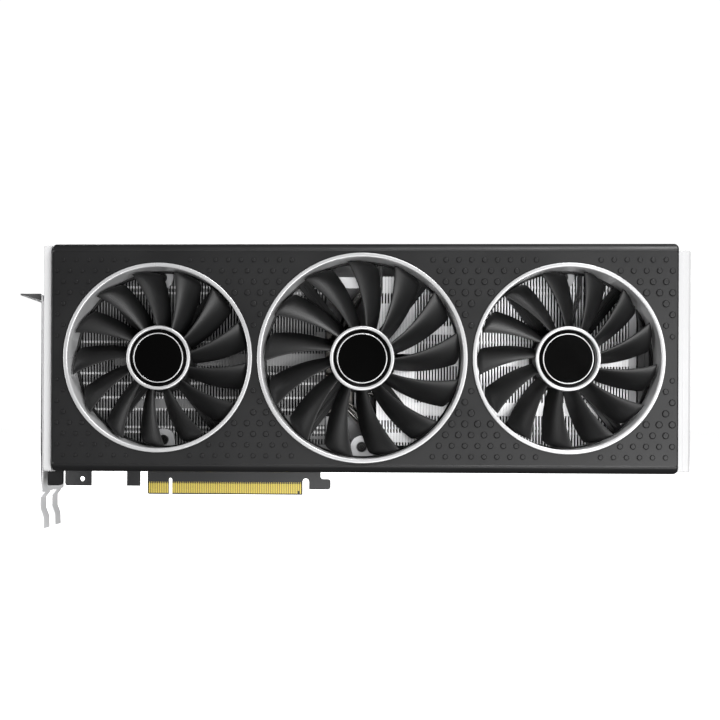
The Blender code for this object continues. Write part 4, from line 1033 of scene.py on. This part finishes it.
def make_fins():
    make_fin_sheets("fin_stack_left")
    make_fin_sheets("fin_stack_right")
    left = make_fin_stack("fin_stack_left", LEFT_PLATES)
    # The left stack's lips and rows take darker copies of the aluminium: painted shade.
    add_piece("fins_left", left, "fin_aluminium", ("fin_stack_left",), FIN_LEFT_PAINTED_SHADE)
    make_fin_rows("fin_stack_left", LEFT_ROWS, FIN_ROW_LEFT_PAINTED_SHADE)
    span = (LEFT_END * MM, span_of("fin_stack_left", X)[1])
    bridge = boxes((span, (FIN_Y[0], FIN_Y[0] + MM), BRIDGE_Z))
    soften(add_piece("fin_bridge", bridge, "fin_aluminium"), 0.15 * MM)
    right = make_fin_stack("fin_stack_right", RIGHT_PLATES)
    add_piece("fins_right", right, "fin_aluminium", ("fin_stack_right",))
    make_fin_rows("fin_stack_right", RIGHT_ROWS)


PIPE_RADIUS = 2.9 * MM
PIPE_START = -74.0 * MM
BEND_START = 48.0 * MM
BEND_STEPS = 28

# Z on the left, Z on the right, and X of the bend's end and of the pipe's end, in millimetres.
PIPES = (
    (53.5, 36.0, 80.0, 198.0),
    (62.5, 56.0, 80.0, 198.0),
    (71.5, 78.0, 80.0, 198.0),
    (80.5, 110.0, 72.0, 112.0),
)


def pipe_path(left_z, right_z, bend_end, end):
    """Straight, one smooth step between the two levels, then straight again."""
    points = [(PIPE_START, left_z * MM)]
    for k in range(BEND_STEPS + 1):
        t = k / BEND_STEPS
        eased = t * t * t * (t * (6 * t - 15) + 10)
        x = BEND_START + (bend_end * MM - BEND_START) * t
        points.append((x, (left_z + (right_z - left_z) * eased) * MM))
    return points + [(end * MM, right_z * MM)]


def add_tube(bm, points, radius, sides=24, domed=True):
    """A round tube along a path of vectors, with rounded ends if domed."""
    loops = []
    normal = Vector((0, 1, 0))
    for index, point in enumerate(points):
        before = points[max(0, index - 1)]
        after = points[min(len(points) - 1, index + 1)]
        along = (after - before).normalized()
        normal = (normal - along * normal.dot(along)).normalized()
        side = along.cross(normal)
        ends = [(0.0, 1.0)]
        if domed and index == 0:
            ends = [(-0.45, 0.3), (-0.36, 0.7), (-0.16, 0.94), (0.0, 1.0)]
        elif domed and index == len(points) - 1:
            ends = [(0.0, 1.0), (0.16, 0.94), (0.36, 0.7), (0.45, 0.3)]
        for shift, size in ends:
            middle = point + along * shift * radius
            turn = [2 * math.pi * k / sides for k in range(sides)]
            ring = [math.cos(a) * normal + math.sin(a) * side for a in turn]
            loops.append([middle + r * radius * size for r in ring])
    add_loft(bm, loops)


def make_pipes():
    for number, data in enumerate(PIPES, 1):
        bm = bmesh.new()
        depth = sum(span_of("heat_pipe_%d" % number, Y)) / 2
        add_tube(bm, [Vector((x, depth, z)) for x, z in pipe_path(*data)], PIPE_RADIUS, 32)
        name = "heat_pipe_%d" % number
        add_piece("cooler_pipe_%d" % number, bm, "nickel_pipe", (name,), sharp=60)


SHEET = 1.0 * MM
PLATE_THICK = 1.3 * MM
CORE_X = mm(16.0, 64.0)
CORE_Z = mm(43.0, 91.0)
NOTCH_X = mm(115.0, 163.6)
NOTCH_FOOT = 98.0 * MM
END_PLATE_FRONT = -24.6 * MM
TAB_RADIUS = 6.0 * MM
TAB_THICK = 0.7 * MM

# X and Z of the screw in each folded tab, in millimetres.
TABS = ((-35.6, 30.3), (68.4, 27.0), (-36.8, 115.3), (172.5, 115.6))


def tab_outline(x, z, low, high):
    """A tab from the sheet's nearer edge to a round end about its screw."""
    upper = z > (low + high) / 2
    root = high - 0.2 * MM if upper else low + 0.2 * MM
    outline = [(x + TAB_RADIUS, root), (x - TAB_RADIUS, root)]
    return outline + arc((x, z), TAB_RADIUS, 180, 360 if upper else 0, 24)


def make_carrier():
    """The sheet frame that carries the cooler, with its folded tabs and their screws."""
    low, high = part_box("cooler_carrier")
    plate_y = (high.y - PLATE_THICK, high.y)
    bm = prism(rounded((low.x, high.x), (low.z, high.z), 1.0 * MM), "Y", *plate_y)
    plate = add_piece("carrier_sheet", bm, "grey_sheet", ("cooler_carrier",))
    windows = bmesh.new()
    through = (plate_y[0] - PAST, plate_y[1] + PAST)
    add_prism(windows, rounded(CORE_X, CORE_Z, 2.0 * MM), "Y", *through)
    add_box(windows, NOTCH_X, through, (NOTCH_FOOT, high.z + PAST))
    cut(plate, windows)
    soften(plate, 0.2 * MM)
    make_carrier_walls(low, high)
    screws = bmesh.new()
    for x, z in TABS:
        add_screw(screws, x * MM, z * MM, low.y + 0.02 * MM, 2.7 * MM, 1.1 * MM)
    add_piece("carrier_screws", screws, "steel", surface=SCREW_BLACK)


def make_carrier_walls(low, high):
    """The folded edges, notched above the header side, with the tabs and the end plate."""
    back = high.y - 0.2 * MM
    upper = (high.z - SHEET, high.z)
    walls = boxes(((low.x, high.x), (low.y, back), (low.z, low.z + SHEET)))
    for x in ((low.x, NOTCH_X[0]), (NOTCH_X[1], high.x)):
        add_box(walls, x, (low.y, back), upper)
    for x, z in TABS:
        outline = tab_outline(x * MM, z * MM, low.z, high.z)
        add_prism(walls, outline, "Y", low.y, low.y + TAB_THICK)
    add_box(walls, END_PLATE, (END_PLATE_FRONT, back), FIN_Z)
    soften(add_piece("carrier_walls", walls, "grey_sheet"), 0.15 * MM)


# Circuit board.

BOARD_HALF = 0.8 * MM
KEY = 1.9 * MM
LONG_TONGUE = 71.65 * MM
SHORT_TONGUE = 11.65 * MM
BOARD_FOOT = 4.4 * MM
BOARD_SHELF = 15.0 * MM
FIXING_HOLE = mm(-85.5, 8.2)


def board_outline():
    """The board's edge with both connector tongues, the key, the latch hook and two locating tabs."""
    low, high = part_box("circuit_board")
    foot, shelf, key = BOARD_FOOT, BOARD_SHELF, KEY
    half = LONG_TONGUE / 2
    end = -half - key - SHORT_TONGUE
    points = arc((low.x + 1.5 * MM, foot + 1.5 * MM), 1.5 * MM, 180, 270, 8)
    points += [(-80.5 * MM, foot), (-80.5 * MM, shelf), (-60.8 * MM, shelf), (-60.8 * MM, foot)]
    points += [(-53.5 * MM, foot), (-53.5 * MM, shelf), (end, shelf), (end, 0.6 * MM)]
    points += [(end + 0.6 * MM, 0.0), (-half - key, 0.0)]
    points += arc((-half - key / 2, 8.0 * MM), key / 2, 180, 0, 14)
    points += [(-half, 0.0), (half, 0.0)]
    points += arc((half + 1.8 * MM, 7.2 * MM), 1.8 * MM, 180, 0, 14)
    points += [(half + 3.6 * MM, 3.0 * MM)]
    points += arc(mm(49.7, 4.5), 1.5 * MM, -90, 0, 8)
    points += arc(mm(49.7, 7.2), 1.5 * MM, 0, 90, 8)[1:]
    points += arc(mm(47.2, 10.2), 1.5 * MM, 270, 180, 8)
    points += [(45.7 * MM, shelf), (high.x, shelf), (high.x, high.z), (low.x, high.z)]
    return points


def make_board():
    """The board with its one fixing hole."""
    bm = prism(board_outline(), "Y", -BOARD_HALF, BOARD_HALF)
    board = add_piece("board_panel", bm, "board", ("circuit_board",))
    cut(board, turned([(1.35 * MM, -PAST), (1.35 * MM, PAST)], FIXING_HOLE, 40, False))
    soften(board, 0.1 * MM)


CONTACT_TOP = 6.0 * MM
CONTACT_FOOT = 0.7 * MM
SHORT_FOOT = 2.2 * MM
CONTACT_HALF = 0.35 * MM
TRACE_HALF = 0.12 * MM
TRACE_LENGTH = 0.9 * MM

# Start of the node's name, number of contacts and direction from the key.
CONTACT_ROWS = (("short_contacts_", 11, -1), ("long_contacts_", 71, 1))


def make_contacts():
    """Single gold fingers, 1 mm apart, on both faces; the last but one of the long row is short."""
    key_middle = -(LONG_TONGUE + KEY) / 2
    for side, name in ((-1, "front"), (1, "back")):
        face = side * BOARD_HALF
        layer = sorted((face + side * 0.05 * MM, face - side * 0.1 * MM))
        for prefix, count, way in CONTACT_ROWS:
            bm = bmesh.new()
            for k in range(count):
                x = key_middle + way * 1.5 * MM + way * k * MM
                foot = SHORT_FOOT if way > 0 and k == count - 2 else CONTACT_FOOT
                add_box(bm, around(x, CONTACT_HALF), layer, (foot, CONTACT_TOP))
                add_box(bm, around(x, TRACE_HALF), layer, (CONTACT_TOP, CONTACT_TOP + TRACE_LENGTH))
            node = prefix + name
            piece = add_piece(node.replace("contacts", "fingers"), bm, "gold", (node,))
            soften(piece, 0.03 * MM, 1)


CAPACITOR_PITCH = 3.2
CAPACITOR_ROWS = 5
CAPACITOR_CORNER = (33.6, 60.6)
CAPACITOR_HALF = mm(0.8, 0.45)


def make_board_parts():
    """A chequered grid of small parts on the back of the board, behind the backplate's window."""
    bm = bmesh.new()
    back = (BOARD_HALF, BOARD_HALF + 0.9 * MM)
    for row in range(CAPACITOR_ROWS):
        for column in range(row % 2, CAPACITOR_ROWS, 2):
            x = (CAPACITOR_CORNER[0] + CAPACITOR_PITCH * column) * MM
            z = (CAPACITOR_CORNER[1] + CAPACITOR_PITCH * row) * MM
            add_box(bm, around(x, CAPACITOR_HALF[0]), back, around(z, CAPACITOR_HALF[1]))
    soften(add_piece("board_capacitors", bm, "bronze"), 0.08 * MM, 1)


# Sockets.

SOCKETS = ("display_socket_1", "display_socket_2", "display_socket_3", "hdmi_socket")
SHELL_WALL = 0.5 * MM
SOCKET_DEPTH = 12.0 * MM
SOCKET_PINS = 10


def make_socket(name):
    """A folded steel shell with a plastic tongue and its gold pins."""
    low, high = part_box(name)
    middle_y = (low.y + high.y) / 2
    middle_z = (low.z + high.z) / 2
    bm = prism(rounded((low.y, high.y), (low.z, high.z), 1.2 * MM, 8), "X", low.x, high.x)
    shell = add_piece("shell_" + name, bm, "steel", (name,))
    span_y = (low.y + SHELL_WALL, high.y - SHELL_WALL)
    inner = rounded(span_y, (low.z + SHELL_WALL, high.z - SHELL_WALL), 0.8 * MM, 8)
    cut(shell, prism(inner, "X", low.x - PAST, low.x + SOCKET_DEPTH))
    soften(shell, 0.1 * MM)
    half = (high.z - low.z) / 2 - 2.6 * MM
    tongue = bmesh.new()
    blade = (low.x + 2.0 * MM, low.x + SOCKET_DEPTH + 0.5 * MM)
    add_box(tongue, blade, around(middle_y, 0.75 * MM), around(middle_z, half))
    base = (low.x + SOCKET_DEPTH - MM, low.x + SOCKET_DEPTH + 0.6 * MM)
    add_box(tongue, base, (span_y[0] - 0.1 * MM, span_y[1] + 0.1 * MM), around(middle_z, half + 2.2 * MM))
    soften(add_piece("tongue_" + name, tongue, "black_plastic"), 0.15 * MM)
    pins = bmesh.new()
    for k in range(SOCKET_PINS):
        z = middle_z + (k / (SOCKET_PINS - 1) - 0.5) * (2 * half - 1.2 * MM)
        for side in (-1, 1):
            layer = sorted((middle_y + side * 0.7 * MM, middle_y + side * 0.85 * MM))
            add_box(pins, (low.x + 2.8 * MM, low.x + 11.5 * MM), layer, around(z, 0.22 * MM))
    add_piece("pins_" + name, pins, "gold")


CELL_PITCH = 4.2 * MM
CELL_HALF = 1.85 * MM
CELL_DEPTH = 10.5 * MM
PIN_HALF = 0.5 * MM
LEDGE_Z = mm(110.0, 114.0)


def make_power_socket(name):
    """An eight-way power socket: moulded cells around square pins, and a latch ledge in front."""
    low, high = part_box(name)
    front = low.y + 1.0 * MM
    span_x = (low.x, high.x)
    bm = prism(rounded(span_x, (front, high.y), 0.6 * MM), "Z", low.z, high.z)
    socket = add_piece("housing_" + name, bm, "black_plastic", (name,))
    middle = (low.x + high.x) / 2
    ledge = boxes((around(middle, 2.5 * MM), (low.y, front + 0.5 * MM), LEDGE_Z))
    cut(socket, ledge, "UNION")
    cells = bmesh.new()
    pins = bmesh.new()
    height = (high.z - CELL_DEPTH - 0.5 * MM, high.z - 2.0 * MM)
    for column in range(4):
        for row in range(2):
            x = middle + (column - 1.5) * CELL_PITCH
            y = (front + high.y) / 2 + (row - 0.5) * CELL_PITCH
            outline = rounded(around(x, CELL_HALF), around(y, CELL_HALF), 0.5 * MM, 4)
            add_prism(cells, outline, "Z", high.z - CELL_DEPTH, high.z + PAST)
            add_box(pins, around(x, PIN_HALF), around(y, PIN_HALF), height)
    cut(socket, cells)
    soften(socket, 0.15 * MM)
    soften(add_piece("pins_" + name, pins, "gold"), 0.2 * MM)


# Backplate, end frames and bracket.


REAR_WINDOW_X = mm(23.5, 56.5)
REAR_WINDOW_Z = mm(50.5, 83.5)

# Places of the screws and of the pressed lines, in millimetres.
REAR_SCREW_X = (-86.0, -20.0, 40.0, 110.0, 176.0, 233.0)
REAR_SCREW_Z = (20.5, 124.0)
SPRING_MIDDLE = (40, 67)
SPRING_REACH = (-29.0, 29.0)
LINE_PITCH = 20.0
LINE_ROWS = ((78.0, 5), (-72.0, 4))
LINE_LENGTH = 12 * MM
LINE_DEPTH = 0.6 * MM
LINE_Z = (mm(31.0, 32.6), mm(111.2, 112.8))


def make_backplate():
    """A stamped plate with a window behind the chip, pressed lines and screws."""
    low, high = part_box("backplate")
    bm = prism(rounded((low.x, high.x), (low.z, high.z), 3.0 * MM, 12), "Y", low.y, high.y)
    plate = add_piece("rear_plate", bm, "backplate_black", ("backplate",))
    window = rounded(REAR_WINDOW_X, REAR_WINDOW_Z, 2.0 * MM)
    cut(plate, prism(window, "Y", low.y - PAST, high.y + PAST))
    cut(plate, boxes(*rear_grooves(high.y)))
    soften(plate, 0.3 * MM, 3)
    screws = bmesh.new()
    seat = high.y - 0.05 * MM
    for x in REAR_SCREW_X:
        for z in REAR_SCREW_Z:
            add_screw(screws, x * MM, z * MM, seat, 2.6 * MM, 1.0 * MM, 1)
    for dx in SPRING_REACH:
        for dz in SPRING_REACH:
            place = ((SPRING_MIDDLE[0] + dx) * MM, (SPRING_MIDDLE[1] + dz) * MM)
            add_screw(screws, *place, seat, 3.0 * MM, 1.3 * MM, 1)
    add_piece("rear_screws", screws, "steel", surface=SCREW_BLACK)


def rear_grooves(face):
    """Two level rows of shallow pressed lines on both sides of the window."""
    for start, count in LINE_ROWS:
        for k in range(count):
            x = (start + LINE_PITCH * k) * MM
            for height in LINE_Z:
                yield (x, x + LINE_LENGTH), (face - LINE_DEPTH, face + PAST), height


def make_left_frame():
    """The pale strip at the bracket end, open for the exhaust air."""
    low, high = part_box("left_end_frame")
    bm = prism(rounded((low.y, high.y), (low.z, high.z), 1.2 * MM), "X", low.x, high.x)
    strip = add_piece("end_strip_left", bm, "pale_plastic", ("left_end_frame",))
    window = rounded((WINDOW_FRONT, -15.0 * MM), WINDOW_Z, OPENING_CORNER)
    cut(strip, prism(window, "X", low.x - PAST, high.x + PAST))
    soften(strip, 0.4 * MM, 3)


CAP_WALL = 1.8 * MM
CAP_VENTS = 9
CAP_VENT_PITCH = 10.5
CAP_VENT_START = 27.0
CAP_VENT_Y = mm(-13.0, -2.0)
CAP_VENT_HEIGHT = 5.0 * MM

# The stepped front: millimetres in from the free end and back from the front.
CAP_STEPS = ((8.0, 0.0), (8.0, 0.8), (4.5, 0.8), (4.5, 1.6), (1.5, 1.6), (0.0, 3.2))


def make_right_frame():
    """The pale end cap: stepped front, hollow behind, with a column of vents in its side."""
    low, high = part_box("right_end_frame")
    front = low.y
    outline = [(low.x, high.y), (low.x, front)]
    outline += [(high.x - step * MM, front + back * MM) for step, back in CAP_STEPS]
    bm = prism([*outline, (high.x, high.y)], "Z", low.z, high.z)
    # The cap takes the darker copy of the pale plastic: painted shade.
    cap = add_piece("end_cap_right", bm, "pale_plastic", ("right_end_frame",), CAP_PAINTED_SHADE)
    x = (low.x - PAST, high.x - CAP_WALL)
    y = (front + 3.4 * MM, high.y + PAST)
    cut(cap, boxes((x, y, (low.z + CAP_WALL, high.z - CAP_WALL))))
    vents = bmesh.new()
    for k in range(CAP_VENTS):
        z = (CAP_VENT_START + CAP_VENT_PITCH * k) * MM
        outline = rounded(CAP_VENT_Y, (z, z + CAP_VENT_HEIGHT), 1.2 * MM)
        add_prism(vents, outline, "X", high.x - 2 * CAP_WALL, high.x + CAP_WALL)
    cut(cap, vents)
    soften(cap, 0.35 * MM, 3)


BRACKET_THICK = 0.9 * MM
BRACKET_X = -97.7 * MM
PLATE_FOOT = 3.0 * MM
FOOT_MIDDLES = mm(-26.1, -5.8)
FOOT_HALF = 5.1 * MM
FOLD_Z = mm(16, 102)
GUSSET_LENGTH = 8.0 * MM
SLOTS = 10
SLOT_PITCH = 8.6
SLOT_START = 14.0
SLOT_Y = mm(-31.5, -13.0)
SLOT_HEIGHT = 4.6 * MM
NOTCH_ROOT_X = mm(-105.8, -101.4)
FLANGE_Z = mm(100, 110)


def foot_side(out):
    """Side view of a bracket foot: out past the plate, then back in towards the tip."""
    inner = [(0.0, 3.0), (-2.1, 0.0), (-2.1, -6.2), (-0.6, -10.2), (-0.4, -16.3)]
    outer = [(0.5, -16.3), (0.3, -10.0), (-1.2, -6.0), (-1.2, -0.2), (0.9, 2.6), (0.9, 4.2), (0.0, 4.2)]
    return [(out + x * MM, z * MM) for x, z in inner + outer]


def make_bracket():
    """The two-slot steel bracket: plate, top flange with screw notches, side fold and two feet."""
    low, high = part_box("bracket")
    out = BRACKET_X
    inner = out + BRACKET_THICK
    under = high.z - BRACKET_THICK
    fold = (out - BRACKET_THICK, under - BRACKET_THICK)
    outline = [(out, PLATE_FOOT), (inner, PLATE_FOOT), *arc(fold, 2 * BRACKET_THICK, 0, 90, 8)]
    outline += [(low.x, high.z), (low.x, under), *arc(fold, BRACKET_THICK, 90, 0, 6)]
    bm = prism(outline, "Y", low.y, high.y)
    bracket = add_piece("slot_bracket", bm, "bracket_steel", ("bracket",))
    edge = (out + 0.1 * MM, out + 2.2 * MM)
    cut(bracket, boxes((edge, (low.y, low.y + BRACKET_THICK), FOLD_Z)), "UNION")
    make_gusset(low, under, high.z)
    for middle in FOOT_MIDDLES:
        cut(bracket, prism(foot_side(out), "Y", *around(middle, FOOT_HALF)), "UNION")
    cut(bracket, bracket_slots())
    cut(bracket, bracket_notches(high))
    soften(bracket, 0.15 * MM)


def make_gusset(low, under, top):
    """The stiffening wedge under the flange's front edge, in a dark copy of the bracket steel: painted
    shade.
    """
    root = BRACKET_X - 0.1 * MM
    tip = low.x + 0.1 * MM
    outline = [(root, top - 0.05 * MM), (tip, top - 0.05 * MM), (tip, under)]
    outline += [(root - GUSSET_LENGTH, under - 0.2 * MM), (root, under - 2.6 * MM)]
    bm = prism(outline, "Y", low.y - 0.1 * MM, low.y + 0.8 * MM)
    soften(add_piece("bracket_gusset", bm, "bracket_steel", surface=GUSSET_PAINTED_SHADE), 0.1 * MM)


def bracket_slots():
    """Socket openings and rounded exhaust slots."""
    cuts = bmesh.new()
    across = around(BRACKET_X, PAST)
    gap = 0.3 * MM
    for name in SOCKETS:
        low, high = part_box(name)
        y = (low.y - gap, high.y + gap)
        add_prism(cuts, rounded(y, (low.z - gap, high.z + gap), 1.4 * MM, 8), "X", *across)
    for k in range(SLOTS):
        z = (SLOT_START + SLOT_PITCH * k) * MM
        outline = rounded(SLOT_Y, (z, z + SLOT_HEIGHT), 2.2 * MM, 8)
        add_prism(cuts, outline, "X", *across)
    return cuts


def bracket_notches(high):
    """Screw notches in the flange: one at its end and one between the slots."""
    cuts = bmesh.new()
    for y in ((-2.0 * MM, high.y + PAST), mm(-22.4, -16.4)):
        add_prism(cuts, rounded(NOTCH_ROOT_X, y, 2.0 * MM, 8), "Z", *FLANGE_Z)
    return cuts


LEAD_LAYER = -25.9 * MM
LEAD_OVER = 126.5 * MM
LEAD_END = 112.3 * MM
LANES = (-20.0, 64.0, 4.0)
WIRE_RADIUS = 0.42 * MM
WIRE_PITCH = 0.95 * MM

# The stretch up from the motor seat: millimetres from the fan's centre along X and Z.
LEAD_RISE = ((4.5, 13), (4.7, 18), (5.5, 24), (7.3, 30), (8.6, 34), (9.0, 38))


def lead_path(index, name):
    """Up from the motor seat, over the carrier's edge and along it to the header."""
    x, z, _ = fan_of(name)
    run = x + 9 * MM
    over = LEAD_OVER
    layer = LEAD_LAYER
    lane = (LANES[0] + LANES[2] * index) * MM
    end = (LANES[1] + LANES[2] * index) * MM
    step = math.copysign(2 * MM, end - run)
    points = [(x + dx * MM, layer, z + dz * MM) for dx, dz in LEAD_RISE]
    points += [(run, layer, over - 3 * MM), (run, layer + 0.6 * MM, over - 0.6 * MM)]
    points += [(run, lane - 1.5 * MM, over), (run + step, lane, over), (end - step, lane, over)]
    points += [(end, lane + 2 * MM, over), (end, -4.2 * MM, over), (end, -3.2 * MM, over - 0.7 * MM)]
    return points + [(end, -2.8 * MM, over - 2 * MM), (end, -2.8 * MM, LEAD_END)]


def make_leads():
    """Three sleeved wires side by side from each fan to the board's header."""
    for index, name in enumerate(FANS):
        bm = bmesh.new()
        for shift in (-1.0, 0.0, 1.0):
            move = Vector((shift * WIRE_PITCH, 0.0, 0.0))
            path = [Vector(point) + move for point in lead_path(index, name)]
            add_tube(bm, path, WIRE_RADIUS, 12, False)
        add_piece("lead_" + name, bm, "lead_black", ("fan_lead_" + name,), sharp=60)


KEPT_NODES = {
    "bearing_sleeve": "bronze",
    "shaft": "steel",
    "stator": "laminations",
    "magnet_ring": "magnet",
    "cold_plate": "copper",
    "choke_row": "laminations",
    "graphics_chip": "chip",
    "memory": "chip",
    "retention_plate": "grey_sheet",
    "fan_header": "pale_plastic",
}


def dress_kept_nodes():
    """Gives the inner nodes that stay as modelled their procedural finishes."""
    for name in frame["nodes"]:
        for prefix, slot in KEPT_NODES.items():
            if name.startswith(prefix):
                node = bpy.data.objects[name]
                node.data.materials.clear()
                node.data.materials.append(FINISH[slot])


def make_card():
    """Every piece of the visual model, in order."""
    make_shroud()
    make_dots()
    make_inner_panel()
    for name in FANS:
        make_trim_ring(name)
        make_rotor(name)
        make_hub_trim(name)
        make_fan_frame(name)
    make_fins()
    make_pipes()
    make_carrier()
    make_board()
    make_contacts()
    make_board_parts()
    for name in SOCKETS:
        make_socket(name)
    for name in ("power_socket_1", "power_socket_2"):
        make_power_socket(name)
    make_backplate()
    make_left_frame()
    make_right_frame()
    make_bracket()
    make_leads()
    dress_kept_nodes()


make_card()
make_floor()
make_studio()
light_the_fins()
make_camera()
